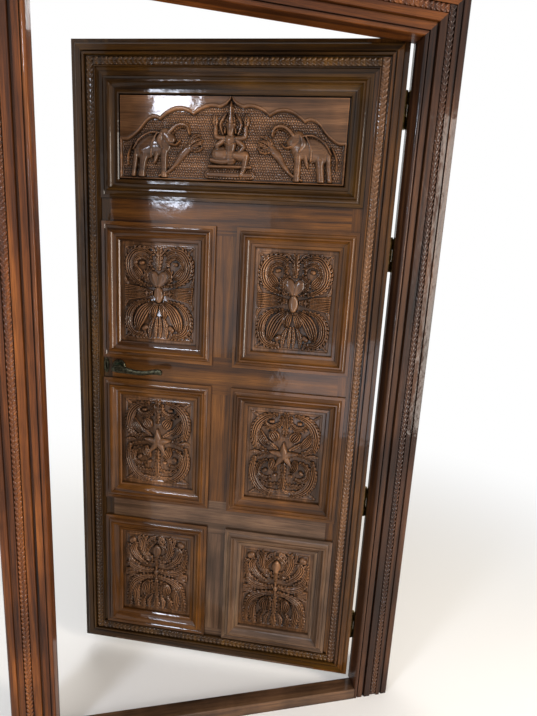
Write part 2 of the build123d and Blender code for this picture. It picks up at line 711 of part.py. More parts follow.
def make_latch():
    bolt, tail, claw = latch_shape()
    half_t = latch_w / 2
    bevel = Plane(origin=(leaf_x0, face_y + mid_d, leaf_z1 - lock_v + latch_rise), x_dir=(1, 0, 0),
                  z_dir=(0, 0, 1))
    wedge = Polyline((-latch_out - 1, -half_t - 1), (-1, -half_t - 1), (-1, -half_t),
                     (-latch_out, half_t - 2), (-latch_out - 1, half_t - 2), close=True)
    bolt -= extrude(bevel * make_face(wedge), latch_h, both=True)
    hook = lock_block(claw, claw + 6, latch_rise - 3, latch_rise + 5, -3, latch_w / 2)
    return bolt + tail + hook


def make_dead_bolt():
    return lock_block(0.5, dead_len, -dead_drop - dead_h / 2, -dead_drop + dead_h / 2,
                      -dead_w / 2, dead_w / 2)


def lock_mortises():
    """The cuts that the lock needs in the stile and the rail."""
    half_h, half_t = case_h / 2 + fit_clear, case_t / 2 + fit_clear
    forend = lock_block(-1, forend_t, -forend_h / 2, forend_h / 2, -forend_w / 2, forend_w / 2)
    room = lock_block(0, case_len + fit_clear, -half_h, half_h, -half_t, half_t)
    across = leaf_t / 2 + 1
    cuts = [forend, room, cross_rod(spindle_set, 0, -across, across, neck_r + 2 * neck_clear)]
    cuts.append(key_cut(-across, across))
    return cuts


def make_lock_case():
    body = lock_block(forend_t, case_len, -case_h / 2, case_h / 2, -case_t / 2, case_t / 2)
    bolt, tail, claw = latch_shape(slide_clear, latch_travel)
    inner = case_t / 2 - case_wall
    cavity = lock_block(spindle_set - 20, case_len - case_wall, -14, cavity_top, -inner, inner)
    dead = lock_block(0, dead_len + 1, -dead_drop - dead_h / 2 - slide_clear,
                      -dead_drop + dead_h / 2 + slide_clear, -dead_w / 2 - slide_clear,
                      dead_w / 2 + slide_clear)
    bore = cross_rod(spindle_set, 0, -case_t, case_t, follower_r + slide_clear)
    body = body - bolt - tail - cavity - dead - bore - key_cut(-case_t, case_t)
    split = lock_block(0, case_len + 1, -case_h, case_h, inner, case_t)
    return body - split, body & split


def make_lever_spring():
    """A coil that stands on the follower's spring arm and pushes it down from the case's roof."""
    low = 2.5 + spring_wire / 2 + 0.1
    rise = cavity_top - low - spring_wire / 2 - 0.1
    foot = Pos(leaf_x0 + spindle_set - spring_arm, face_y + mid_d - 0.5, leaf_z1 - lock_v + low)
    path = Helix(rise / spring_turns, rise, spring_r)
    wire = Plane(origin=path @ 0, z_dir=path % 0) * Rectangle(spring_wire, spring_wire)
    return foot * sweep(wire, path, is_frenet=True)


def make_forend():
    plate = lock_block(0, forend_t, -forend_h / 2, forend_h / 2, -forend_w / 2, forend_w / 2)
    half = latch_w / 2 + slide_clear
    plate -= lock_block(-1, forend_t + 1, latch_rise - latch_h / 2 - slide_clear,
                        latch_rise + latch_h / 2 + slide_clear, -half, half)
    half = dead_w / 2 + slide_clear
    return plate - lock_block(-1, forend_t + 1, -dead_drop - dead_h / 2 - slide_clear,
                              -dead_drop + dead_h / 2 + slide_clear, -half, half)


def make_follower():
    half = case_t / 2 - 0.5
    hub = cross_rod(spindle_set, 0, -half, half, follower_r)
    arm = lock_block(spindle_set - follower_tip_r, spindle_set + follower_tip_r, 0, follower_arm, -3, 2)
    tip = cross_rod(spindle_set, follower_arm, -3, 2, follower_tip_r)
    arm += lock_block(spindle_set - spring_arm - spring_r, spindle_set, -2.5, 2.5, -3, 2)
    side = spindle_side / 2 + fit_clear
    hole = lock_block(spindle_set - side, spindle_set + side, -side, side, -case_t, case_t)
    return hub + arm + tip - hole


def make_spindle():
    side = spindle_side / 2
    reach = leaf_t / 2 + lever_stand - lever_t / 2 - socket_grip
    return lock_block(spindle_set - side, spindle_set + side, -side, side, -reach, reach)


def lever(way):
    """A waved lever with a scrolled end, on its neck. way is -1 in front and 1 behind."""
    near = leaf_t / 2 + 1
    stand = leaf_t / 2 + lever_stand
    neck = cross_rod(spindle_set, 0, near, stand, neck_r)
    base = Plane(origin=(leaf_x0 + spindle_set, face_y + mid_d + stand, leaf_z1 - lock_v),
                 x_dir=(1, 0, 0), z_dir=(0, -1, 0))
    h = lever_h / 2
    length = lever_len
    top = Spline((0, h + 2), (length * 0.35, h - 1), (length * 0.7, h - 5), (length - 8, h - 3))
    low = Spline((length - 8, -h + 1), (length * 0.7, -h - 1), (length * 0.35, -h), (0, -h - 2))
    outline = Curve() + [top, Line(top @ 1, low @ 0), low, ThreePointArc(low @ 1, (-h - 2, 0), top @ 0)]
    arm = extrude(base * make_face(outline), lever_t)
    knob_at = Pos(leaf_x0 + spindle_set + length - 6, 0, leaf_z1 - lock_v)
    knob = knob_at * rod(0, face_y + mid_d + stand - lever_t - 1, 0, h, lever_t + 2, (0, 1, 0))
    side = spindle_side / 2 + fit_clear
    socket = lock_block(spindle_set - side, spindle_set + side, -side, side, 0, stand - lever_t / 2)
    shape = neck + arm + knob - socket
    if way > 0:
        return shape
    return mirror(shape, Plane(origin=(0, face_y + mid_d, 0), z_dir=(0, 1, 0)))


def make_rose(way):
    start = leaf_t / 2
    disc = cross_rod(spindle_set, 0, start, start + rose_t, rose_r)
    rim = disc.faces().sort_by(Axis.Y)[-1].edges()
    disc = chamfer(rim, 2) - cross_rod(spindle_set, 0, 0, 2 * start, neck_r + neck_clear)
    if way > 0:
        return disc
    return mirror(disc, Plane(origin=(0, face_y + mid_d, 0), z_dir=(0, 1, 0)))


def make_key_plate(way):
    w, h = key_plate
    start = leaf_t / 2
    base = Plane(origin=(leaf_x0 + key_set, face_y + mid_d + start, leaf_z1 - lock_v),
                 x_dir=(1, 0, 0), z_dir=(0, 1, 0))
    plate = extrude(base * Ellipse(w / 2, h / 2), 3) - key_cut(0, leaf_t)
    if way > 0:
        return plate
    return mirror(plate, Plane(origin=(0, face_y + mid_d, 0), z_dir=(0, 1, 0)))


def make_strike():
    """The strike plate on the lock jamb, its screws and the pockets behind it."""
    wall = -rebate_w / 2
    y = face_y + mid_d
    z = leaf_z1 - lock_v
    seat = (y - strike_w / 2, y + strike_w / 2, z - strike_h / 2, z + strike_h / 2)
    plate = block(wall - strike_t, wall, *seat)
    room = 1.5
    pockets = []
    for rise, height, width, depth in ((latch_rise, latch_h, latch_w, latch_out),
                                       (-dead_drop, dead_h, dead_w, dead_travel)):
        pockets.append(block(wall - depth - room, wall + 1, y - width / 2 - room, y + width / 2 + room,
                             z + rise - height / 2 - room, z + rise + height / 2 + room))
    jamb_cuts = pockets + [block(wall - strike_t, wall + 1, *seat)]
    screws = []
    for side in (-1, 1):
        spot = (wall, y, z + side * (strike_h / 2 - 10))
        screws.append(screw(*spot, (-1, 0, 0)))
        plate -= screw(*spot, (-1, 0, 0), screw_clear)
        jamb_cuts.append(screw(*spot, (-1, 0, 0), screw_clear))
    return cut_all(plate, pockets), screws, jamb_cuts


def lock_screws():
    """Screws that hold the forend to the leaf's edge."""
    made = []
    for side in (-1, 1):
        made.append((leaf_x0, face_y + mid_d, leaf_z1 - lock_v + side * (forend_h / 2 - 12)))
    return made


def main():
    lock_jamb, hinge_jamb, head, sill = make_door_frame()
    frame_plates, door_plates, pins, frame_screws, door_screws, jamb_cuts, leaf_cuts = make_hinges()
    strike, strike_screws, strike_cuts = make_strike()
    save("jamb_lock", cut_all(lock_jamb, strike_cuts))
    save("jamb_hinge", cut_all(hinge_jamb, jamb_cuts))
    save("head", head)
    save("sill", sill)
    save("strike_plate", strike)
    save("strike_screws", *strike_screws)

    forend = make_forend()
    forend_screws = []
    lock_cuts = lock_mortises()
    for spot in lock_screws():
        forend_screws.append(screw(*spot, (1, 0, 0)))
        forend -= screw(*spot, (1, 0, 0), screw_clear)
        lock_cuts.append(screw(*spot, (1, 0, 0), screw_clear))

    for name, shape in make_leaf_frame(lock_cuts, leaf_cuts).items():
        save(name, swing(shape))
    patterns = {"upper": (lotus_middle, lotus_pairs), "middle": (star_middle, star_pairs),
                "lower": (spine_middle, spine_pairs)}
    for name, spot in openings().items():
        if name == "arch":
            save("panel_arch", swing(arch_panel(*spot)))
        else:
            save("panel_" + name, swing(carved_panel(spot, *patterns[name.split("_")[0]])))
    for name, shapes in make_mouldings().items():
        save(name, *[swing(shape) for shape in shapes])
    for name, shape in make_border().items():
        save("border_" + name, swing(shape))

    for i in range(len(hinge_shares)):
        save("hinge_%d_frame" % (i + 1), frame_plates[i])
        save("hinge_%d_door" % (i + 1), swing(door_plates[i]))
    save("hinge_pins", *pins)
    save("hinge_screws_frame", *frame_screws)
    save("hinge_screws_door", *[swing(shape) for shape in door_screws])

    case, cover = make_lock_case()
    save("lock_case", swing(case))
    save("lock_cover", swing(cover))
    save("lever_spring", swing(make_lever_spring()))
    save("lock_forend", swing(forend))
    save("lock_screws", *[swing(shape) for shape in forend_screws])
    save("latch_bolt", swing(make_latch()))
    save("dead_bolt", swing(make_dead_bolt()))
    save("lock_follower", swing(make_follower()))
    save("spindle", swing(make_spindle()))
    for name, way in (("front", -1), ("rear", 1)):
        save("lever_" + name, swing(lever(way)))
        save("rose_" + name, swing(make_rose(way)))
        save("key_plate_" + name, swing(make_key_plate(way)))


main()
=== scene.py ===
import math

import bpy
import numpy as np
from mathutils import Matrix, Vector


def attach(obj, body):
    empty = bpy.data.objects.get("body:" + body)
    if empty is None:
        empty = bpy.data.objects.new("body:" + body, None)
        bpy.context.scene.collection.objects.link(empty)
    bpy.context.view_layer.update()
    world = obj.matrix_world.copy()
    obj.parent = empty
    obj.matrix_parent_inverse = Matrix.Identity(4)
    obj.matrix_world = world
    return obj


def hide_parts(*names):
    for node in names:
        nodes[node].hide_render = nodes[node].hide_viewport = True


bl_info = {
    "name": "Carved Teak Door",
    "version": (1, 0, 0),
    "blender": (4, 5, 0),
    "location": "View3D > Sidebar > Teak Door",
    "description": "Dresses a framed teak door with its carved panels, leaf chains, cast levers and varnish",
    "category": "Object",
}

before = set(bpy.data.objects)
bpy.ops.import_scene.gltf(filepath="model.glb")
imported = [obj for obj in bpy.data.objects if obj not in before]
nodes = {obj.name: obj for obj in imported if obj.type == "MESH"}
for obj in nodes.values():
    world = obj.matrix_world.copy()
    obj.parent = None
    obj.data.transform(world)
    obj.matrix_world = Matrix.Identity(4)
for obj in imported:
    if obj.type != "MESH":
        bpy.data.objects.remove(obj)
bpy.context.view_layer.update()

# The door's own places in millimetres, drawn with the leaf shut. u runs across the
# leaf from its lock edge, and v runs down from its top.
LEAF_X0, LEAF_TOP, LEAF_FOOT = -498.5, 2106.0, 46.0
LEAF_W, LEAF_T, FACE_Y = 990.0, 40.0, 6.5
PIN = (496.5, 54.5)
REST = math.radians(-20.0)
SET_BACK, BOARD_T = 8.0, 24.0
COLUMNS = {"lock": 276.0, "hinge": 714.0}
ROWS = {"upper": 740.0, "middle": 1250.0, "lower": 1760.0}
ROW_BOARD = (157.8, 191.8)
ROW_MOULDING = (186.0, 220.0)
ARCH_CENTRE, ARCH_BASE = (495.0, 270.0), 384.0
ARCH_BOARD = (376.8, 151.8)
ARCH_MOULDING = (405.0, 180.0)
ARCH_SLAB = (345.0, 120.0, 9.0)
ARCH_HALF, ARCH_H = 338.0, 233.0
FRAME_FRONT, LIP_Z, OPENING_HALF = -46.5, 2094.0, 486.5
BORDER_BAND, BORDER_FLOOR = 61.5, 5.0
FRAME_BAND, FRAME_FLOOR = 72.0, 6.0
SPINDLE_U, LOCK_V, LEVER_STAND = 142.0, 990.0, 50.0
MM = 0.001

# Turns what is drawn on the shut leaf to where the leaf stands at rest
LEAF = (Matrix.Translation((PIN[0] * MM, PIN[1] * MM, 0)) @ Matrix.Rotation(REST, 4, "Z")
        @ Matrix.Translation((-PIN[0] * MM, -PIN[1] * MM, 0)))


def linear(code):
    """A hex sRGB colour as Blender's linear RGB."""
    parts = [int(code[i:i + 2], 16) / 255 for i in (1, 3, 5)]
    return [c / 12.92 if c <= 0.04045 else ((c + 0.055) / 1.055) ** 2.4 for c in parts]


# Carving. A stroke is one cut form: its kind, its height, and the points of its
# middle line as (x, y, half width), in millimetres from the field's centre. The
# kinds are s smooth, v a veined leaf with a lobed edge, b a band with a beaded rim,
# a a frond with leaves down both its sides and f a sheaf of flutes. A frond's leaves
# are strokes too, of the kind l, small and creased. DRAWN_FIELD is the width and the
# height that the fields are drawn on.
DRAWN_FIELD = (224.0, 300.0)
LOTUS_SCROLL = [
    ("s", 13, (0, -22, 11), (0, -2, 17), (0, 15, 10)),
    ("a", 9, (0, 78, 7), (0, 108, 12), (0, 142, 8)),
]
LOTUS_SCROLL_PAIR = [
    ("s", 12, (4, 28, 8), (12, 46, 18), (17, 58, 16)),
    ("a", 11, (10, 24, 4), (34, 40, 8), (38, 66, 10), (20, 84, 7)),
    ("a", 12, (20, 26, 4), (58, 32, 9), (90, 58, 15), (97, 98, 16), (76, 132, 14), (44, 136, 12),
     (24, 122, 8)),
    ("a", 11, (78, 84, 8), (74, 108, 10), (52, 120, 10), (31, 108, 8), (30, 90, 5)),
    ("s", 12, (50, 98, 6), (56, 96, 7)),
    ("f", 11, (50, 50, 6), (64, 62, 14), (78, 82, 9)),
    ("f", 11, (18, 2, 7), (58, 2, 19), (108, 0, 27)),
    ("f", 14, (15, -28, 6), (44, -54, 17), (62, -88, 18), (70, -122, 7)),
    ("a", 12, (30, -24, 4), (72, -36, 10), (96, -68, 15), (97, -106, 15), (78, -132, 13), (48, -140, 9)),
    ("s", 12, (40, -112, 9), (46, -116, 9)),
    ("f", 13, (5, -32, 6), (18, -54, 15), (17, -80, 6)),
    ("v", 9, (5, -80, 4), (7, -114, 8), (6, -146, 3)),
    ("v", 10, (17, -84, 5), (27, -114, 10), (27, -145, 3)),
    ("v", 8, (44, -124, 4), (42, -138, 7), (36, -148, 3)),
    ("v", 8, (88, 128, 5), (108, 146, 4)),
    ("v", 8, (90, -130, 5), (108, -146, 4)),
    ("v", 8, (98, 22, 4), (108, 36, 6), (111, 50, 3)),
    ("v", 8, (98, -22, 4), (108, -34, 6), (111, -46, 3)),
    ("v", 8, (14, 132, 4), (24, 144, 5), (40, 149, 2)),
]
STAR_VINE = [
    ("s", 14, (0, -4, 15), (0, 20, 12), (0, 48, 2)),
    ("a", 10, (0, -20, 6), (0, -44, 10), (0, -66, 7)),
    ("a", 10, (0, -66, 6), (0, -92, 13), (0, -124, 9)),
    ("a", 10, (0, 70, 6), (0, 106, 12), (0, 146, 7)),
]
STAR_VINE_PAIR = [
    ("s", 13, (2, 0, 13), (22, 6, 11), (46, 12, 2)),
    ("s", 13, (2, -4, 12), (14, -20, 10), (28, -40, 2)),
    ("a", 10, (40, 8, 5), (64, 2, 9), (86, -6, 7)),
    ("a", 12, (28, 142, 6), (62, 133, 13), (90, 104, 16), (100, 62, 15), (92, 22, 9)),
    ("a", 12, (94, -12, 6), (101, -56, 15), (90, -100, 16), (64, -130, 13), (28, -144, 7)),
    ("a", 12, (14, 138, 6), (16, 114, 10), (36, 98, 11), (60, 100, 10), (70, 116, 7)),
    ("s", 13, (42, 118, 6), (48, 118, 6)),
    ("f", 14, (24, 54, 9), (33, 68, 18), (44, 84, 10)),
    ("f", 11, (50, 32, 5), (70, 52, 14), (84, 80, 7)),
    ("a", 10, (58, 14, 5), (80, 22, 10), (96, 42, 6)),
    ("v", 10, (21, 23, 5), (40, 36, 9), (56, 50, 5)),
    ("f", 14, (40, -16, 7), (36, -38, 14), (26, -58, 7)),
    ("s", 12, (24, -72, 6), (28, -73, 6)),
    ("a", 12, (52, -20, 5), (78, -36, 11), (84, -68, 11), (62, -88, 10), (42, -84, 6)),
    ("s", 12, (58, -56, 7), (63, -60, 7)),
    ("a", 10, (12, -104, 5), (38, -110, 9), (66, -106, 8)),
    ("v", 9, (6, -128, 5), (22, -134, 8), (42, -128, 5)),
    ("v", 8, (88, 130, 5), (108, 146, 4)),
    ("v", 8, (88, -130, 5), (108, -146, 4)),
    ("v", 9, (74, 4, 4), (94, 6, 7), (110, 4, 3)),
]
SPINE_FEATHER = [
    ("s", 13, (0, 78, 10), (0, 94, 17), (0, 110, 9)),
    ("s", 7, (0, 82, 5), (0, 40, 4), (0, -4, 6), (0, -60, 4), (0, -104, 5)),
    ("a", 10, (0, 30, 4), (0, 52, 11), (0, 76, 7)),
    ("a", 10, (0, -20, 4), (0, -52, 11), (0, -92, 8)),
    ("s", 13, (0, 4, 9), (0, 8, 9)),
    ("a", 10, (0, -100, 7), (0, -124, 13), (0, -146, 7)),
]
SPINE_FEATHER_PAIR = [
    ("a", 11, (38, 78, 5), (30, 108, 10), (6, 134, 8)),
    ("s", 12, (86, 128, 11), (92, 124, 11)),
    ("v", 9, (10, 146, 6), (24, 138, 8), (36, 120, 4)),
    ("a", 11, (18, 44, 6), (44, 82, 13), (52, 116, 14), (44, 146, 8)),
    ("a", 11, (34, 34, 6), (72, 62, 14), (88, 92, 15), (76, 118, 8)),
    ("a", 10, (64, 26, 5), (96, 48, 11), (106, 84, 8), (104, 108, 5)),
    ("v", 9, (58, 118, 5), (66, 134, 8), (62, 148, 3)),
    ("a", 11, (17, 42, 5), (17, 62, 8), (32, 72, 8), (43, 60, 6)),
    ("s", 12, (28, 56, 7), (32, 56, 7)),
    ("a", 12, (8, 14, 6), (40, 8, 12), (74, 14, 14), (104, 36, 8)),
    ("f", 12, (68, -3, 5), (92, -4, 14), (111, -4, 12)),
    ("a", 12, (6, -10, 6), (46, -20, 13), (82, -44, 14), (100, -86, 8)),
    ("f", 13, (28, -34, 7), (40, -60, 16), (34, -88, 8)),
    ("a", 11, (60, -44, 6), (78, -88, 14), (70, -142, 9)),
    ("a", 10, (88, -66, 6), (100, -106, 11), (98, -144, 7)),
    ("a", 11, (40, -92, 6), (52, -118, 11), (46, -146, 7)),
    ("v", 10, (18, -98, 4), (28, -120, 9), (24, -148, 3)),
    ("a", 10, (18, -32, 4), (16, -60, 9), (20, -88, 6)),
    ("v", 9, (60, -20, 4), (84, -18, 6), (108, -30, 4)),
]

# The figure panel, from the middle of the arch's base line
SEATED_FIGURE = [
    ("b", 10, (-64, 15, 13), (0, 14, 14), (64, 15, 13)),
    ("s", 12, (-62, 37, 5), (62, 37, 5)),
    ("s", 15, (0, 58, 20), (0, 84, 16), (0, 108, 21)),
    ("s", 17, (-36, 70, 21), (-22, 70, 23)),
    ("s", 15, (-54, 54, 8), (-24, 50, 10), (10, 54, 8)),
    ("s", 16, (16, 68, 13), (42, 66, 17)),
    ("s", 15, (46, 60, 11), (44, 36, 9), (36, 14, 8)),
    ("s", 17, (0, 124, 10), (0, 137, 14), (0, 148, 12)),
    ("b", 15, (0, 152, 15), (0, 172, 12), (0, 192, 7), (0, 210, 2)),
    ("s", 18, (0, 133, 2), (0, 139, 2)),
]
SEATED_FIGURE_PAIR = [
    ("s", 14, (20, 108, 9), (39, 92, 8), (28, 76, 7)),
    ("s", 13, (18, 114, 8), (42, 118, 8), (45, 144, 6)),
    ("v", 12, (45, 146, 6), (47, 161, 11), (46, 178, 3)),
    ("b", 17, (16, 101, 3), (0, 94, 3)),
    ("b", 10, (23, 126, 5), (31, 152, 6), (15, 178, 4)),
    ("s", 16, (15, 138, 3), (16, 128, 3)),
]
ELEPHANT_PAIR = [
    ("s", 15, (208, 90, 28), (240, 90, 35), (270, 78, 29)),
    ("b", 17, (222, 122, 6), (238, 92, 9), (240, 58, 7)),
    ("b", 16, (210, 122, 5), (242, 124, 6), (276, 106, 6), (296, 78, 4)),
    ("s", 17, (198, 120, 20), (184, 106, 19)),
    ("f", 19, (207, 122, 6), (215, 103, 13), (206, 82, 6)),
    ("b", 16, (186, 124, 12), (168, 141, 10), (148, 148, 9), (130, 142, 8), (124, 124, 5)),
    ("s", 18, (180, 94, 4.5), (163, 92, 3.5), (150, 103, 2)),
    ("s", 14, (201, 82, 13), (202, 46, 11), (201, 7, 11)),
    ("s", 13, (224, 76, 9), (228, 52, 7), (232, 40, 3)),
    ("s", 14, (264, 74, 18), (268, 42, 12), (272, 7, 12)),
    ("s", 13, (289, 76, 9), (293, 40, 8), (298, 7, 8)),
    ("b", 11, (300, 92, 4), (314, 64, 4), (315, 36, 4)),
    ("v", 14, (126, 82, 8), (108, 97, 18), (86, 106, 5)),
    ("v", 12, (122, 102, 6), (108, 116, 9), (92, 120, 3)),
    ("v", 12, (116, 80, 6), (98, 80, 9), (84, 88, 3)),
    ("s", 11, (122, 88, 12), (143, 70, 12), (160, 46, 8), (184, 21, 5), (216, 6, 4)),
]


# How a stroke is drawn, in millimetres: the steps along its line, the pitch of a leaf's
# lobes and veins and of a band's beads, and the least half width
LINE_STEP = 1.5
LOBE_PITCH, VEIN_PITCH, BEAD_PITCH = 11, 7, 8
LEAST_WIDTH = 0.6

# Flutes side by side, as their places and their half width in shares of the stroke's
# half width. A sheaf past WIDE_SHEAF has the fine ones.
FROND_FLUTES = ((-0.42, 0, 0.42), 0.24)
SHEAF_FLUTES = (np.linspace(-0.8, 0.8, 5), 0.23)
FINE_FLUTES = (np.linspace(-0.84, 0.84, 9), 0.12)
WIDE_SHEAF, LEAST_FLUTE, FLUTE_FALL, FLUTE_EVERY = 20.0, 1.3, 0.16, 6

# A frond's leaves: steps of its line between two of them, how far their near and far
# halves lean from it in radians, how long these are in shares of the frond's half
# width, and how far the leaves lie below the frond
LEAFLET_EVERY, LEAFLET_LEANS, LEAFLET_REACH, LEAFLET_BELOW = 7, (1.05, 0.35), (0.80, 0.60), 2.0


def mirrored(strokes):
    """The strokes and their mirror images about the middle."""
    return strokes + [(kind, h, *[(-x, y, w) for x, y, w in points]) for kind, h, *points in strokes]


def scaled(strokes, wide, high):
    """The strokes moved with their field's size, each as thick as it was."""
    return [(kind, h, *[(x * wide, y * high, w) for x, y, w in points]) for kind, h, *points in strokes]


def run_through(points):
    """Points every LINE_STEP along a smooth line through the given ones, with the width carried along."""
    p = np.array([points[0], *points, points[-1]], float)
    rows = []
    for a, b, c, d in zip(p, p[1:], p[2:], p[3:]):
        n = max(2, int(np.hypot(*(c - b)[:2]) / LINE_STEP))
        t = np.linspace(0, 1, n, endpoint=False)[:, None]
        rows.append(0.5 * (2 * b + (c - a) * t + (2 * a - 5 * b + 4 * c - d) * t ** 2
                           + (3 * b - a - 3 * c + d) * t ** 3))
    return np.vstack([*rows, p[-1:]])


def flutes(h, line, way, shares, wide):
    """Narrow strokes side by side along a line, at shares of its width."""
    out = []
    for share in shares:
        side = share * line[:, 2]
        flute = np.column_stack([line[:, 0] - side * np.sin(way), line[:, 1] + side * np.cos(way),
                                 np.maximum(line[:, 2] * wide, LEAST_FLUTE)])
        out.append(("s", h * (1 - FLUTE_FALL * abs(share)), *flute[::FLUTE_EVERY], flute[-1]))
    return out


def frond_leaves(h, line, way):
    """Small leaves in pairs along a line, each a stroke out of it that bends forward."""
    out = []
    for (x, y, w), lean in zip(line[::LEAFLET_EVERY], way[::LEAFLET_EVERY]):
        for side in (-1, 1):
            near, far = (lean + side * a for a in LEAFLET_LEANS)
            first, last = (reach * w for reach in LEAFLET_REACH)
            mid = (x + first * math.cos(near), y + first * math.sin(near))
            tip = (mid[0] + last * math.cos(far), mid[1] + last * math.sin(far))
            out.append(("l", h - LEAFLET_BELOW, (x, y, 2.0), (*mid, 0.13 * w + 2.7), (*tip, 1.0)))
    return out


def grown(strokes):
    """The strokes with each frond grown into flutes and leaves, and each sheaf into its flutes."""
    out = []
    for kind, h, *points in strokes:
        if kind not in "af":
            out.append((kind, h, *points))
            continue
        line = run_through(points)
        way = np.arctan2(np.gradient(line[:, 1]), np.gradient(line[:, 0]))
        if kind == "f":
            fine = line[:, 2].max() > WIDE_SHEAF
            out += flutes(h, line, way, *(FINE_FLUTES if fine else SHEAF_FLUTES))
        else:
            out += flutes(h, line, way, *FROND_FLUTES) + frond_leaves(h, line, way)
    return out


def cut_form(kind, h, off, q, run):
    """The height of one stroke, off from its middle line, at the share q of its width and run along it.
    Leaves are creased down the middle, and a band has a step at half its width."""
    if kind == "v":
        q = q / (0.88 + 0.12 * np.cos(run * 2 * np.pi / LOBE_PITCH))
    z = h * np.clip(1 - q ** 2, 0, None) ** 0.5
    if kind == "l":
        z = z * (1 - 0.30 * np.exp(-(off / 1.3) ** 2))
    if kind == "v":
        veins = 0.90 + 0.10 * np.cos((run - 0.9 * off) * 2 * np.pi / VEIN_PITCH)
        z = z * (1 - 0.40 * np.exp(-(off / 1.7) ** 2)) * veins
    elif kind == "b":
        beads = 0.78 + 0.22 * np.cos(run * 2 * np.pi / BEAD_PITCH)
        z = z * np.where(q > 0.5, beads, 1) * (1 - 0.35 * np.exp(-((q - 0.5) / 0.11) ** 2))
    return z


def carve(x, y, strokes, ground):
    """The height of the carving over a grid of x and y."""
    high = ground.copy()
    for kind, h, *points in strokes:
        line = run_through(points)
        wide = np.maximum(line[:, 2], LEAST_WIDTH)
        reach = wide.max() + 1
        near = ((x > line[:, 0].min() - reach) & (x < line[:, 0].max() + reach)
                & (y > line[:, 1].min() - reach) & (y < line[:, 1].max() + reach))
        if not near.any():
            continue
        off = np.hypot(x[near][:, None] - line[None, :, 0], y[near][:, None] - line[None, :, 1])
        best = np.argmin(off / wide[None, :], axis=1)
        least = off[np.arange(len(best)), best]
        z = cut_form(kind, h, least, least / wide[best], best * LINE_STEP)
        high[near] = np.maximum(high[near], z)
    return high


def pebbled(x, y, pitch=7.4, rise=2.7, spread=0.2):
    """A punched ground: rows of round dots that stray under a millimetre from their rows. The dots'
    radius in pitches is the root of spread."""
    x = x + 0.7 * np.sin(y * 0.31 + x * 0.05)
    y = y + 0.6 * np.sin(x * 0.23 + y * 0.07)
    row = np.round(y / pitch)
    dx = (x / pitch + 0.5 * (row % 2)) % 1 - 0.5
    dy = y / pitch - row
    return rise * np.sqrt(np.clip(1 - (dx ** 2 + dy ** 2) / spread, 0, None))


def deselect():
    """Leaves edit mode and clears the selection."""
    if bpy.context.object and bpy.context.object.mode != "OBJECT":
        bpy.ops.object.mode_set(mode="OBJECT")
    bpy.ops.object.select_all(action="DESELECT")


def pick(obj):
    """Selects one object alone and makes it active."""
    deselect()
    obj.select_set(True)
    bpy.context.view_layer.objects.active = obj
    return obj


def join(pieces):
    """Makes one object of several."""
    deselect()
    for piece in pieces:
        piece.select_set(True)
    bpy.context.view_layer.objects.active = pieces[0]
    bpy.ops.object.join()
    return pieces[0]


def finish_piece(obj, name, material, body, place=None):
    """Names a new piece, sets it in the door's frame, and hands it to its body."""
    pick(obj)
    if place is not None:
        obj.matrix_world = place @ obj.matrix_world
    bpy.ops.object.transform_apply(location=True, rotation=True, scale=True)
    obj.name = obj.data.name = name
    obj.data.materials.clear()
    obj.data.materials.append(MATERIALS[material])
    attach(obj, body)
    return obj


def relief_board(centre, xs, ys, high):
    """A board on the shut leaf, centred at u and v, whose near face is a grid raised by high."""
    deselect()
    bpy.ops.mesh.primitive_grid_add(x_subdivisions=len(xs) - 1, y_subdivisions=len(ys) - 1, size=1)
    board = bpy.context.object
    gx, gy = np.meshgrid(xs, ys)
    co = np.empty((len(ys), len(xs), 3))
    co[..., 0] = LEAF_X0 + centre[0] + gx
    co[..., 1] = FACE_Y + SET_BACK - high
    co[..., 2] = LEAF_TOP - centre[1] + gy
    board.data.vertices.foreach_set("co", (co * MM).ravel())
    board.data.update()
    bpy.ops.object.mode_set(mode="EDIT")
    bpy.ops.mesh.select_mode(type="VERT")
    bpy.ops.mesh.select_all(action="DESELECT")
    bpy.ops.mesh.select_non_manifold(extend=False)
    bpy.ops.mesh.extrude_edges_move(TRANSFORM_OT_translate={"value": (0, BOARD_T * MM, 0)})
    bpy.ops.mesh.edge_face_add()
    bpy.ops.mesh.select_all(action="SELECT")
    bpy.ops.mesh.normals_make_consistent(inside=False)
    bpy.ops.object.mode_set(mode="OBJECT")
    bpy.ops.object.shade_smooth_by_angle(angle=math.radians(50))
    return board


def lines_between(outer, inner, step, rim=2.0):
    """Grid lines: the board's edge, one at a rim outside the field, then close ones over the field."""
    close = np.linspace(-inner, inner, int(2 * inner / step))
    return np.concatenate([[-outer, -inner - rim], close, [inner + rim, outer]])


def add(tree, kind, settings=None, **links):
    """Adds a node with its settings and links: a link is a socket or a value, its name is the input's
    with underscores, or i and its number, and the stops among the settings fill a colour ramp."""
    node = tree.nodes.new(kind)
    settings = dict(settings or {})
    stops = settings.pop("stops", ())
    for key, value in settings.items():
        setattr(node, key, value)
    for _ in stops[2:]:
        node.color_ramp.elements.new(0.5)
    for element, (at, colour) in zip(node.color_ramp.elements if stops else (), stops):
        element.position = at
        element.color = (*colour, 1) if isinstance(colour, (tuple, list)) else (colour,) * 3 + (1,)
    for key, value in links.items():
        socket = node.inputs[int(key[1:]) if key[0] == "i" and key[1:].isdigit() else key.replace("_", " ")]
        if isinstance(value, bpy.types.NodeSocket):
            tree.links.new(value, socket)
        else:
            socket.default_value = value
    return node


def new_material(name):
    """An empty material and its node tree."""
    material = bpy.data.materials.new(name)
    material.use_nodes = True
    material.node_tree.nodes.clear()
    return material, material.node_tree


# The bands of teak in millimetres, and how many times finer its pores are across and
# along the grain. Pores of 1 mm are coarser than real ones, so that they show.
BAND_LONG, BAND_WIDE = 700, 26
FINER_ACROSS, FINER_ALONG = 26, 12

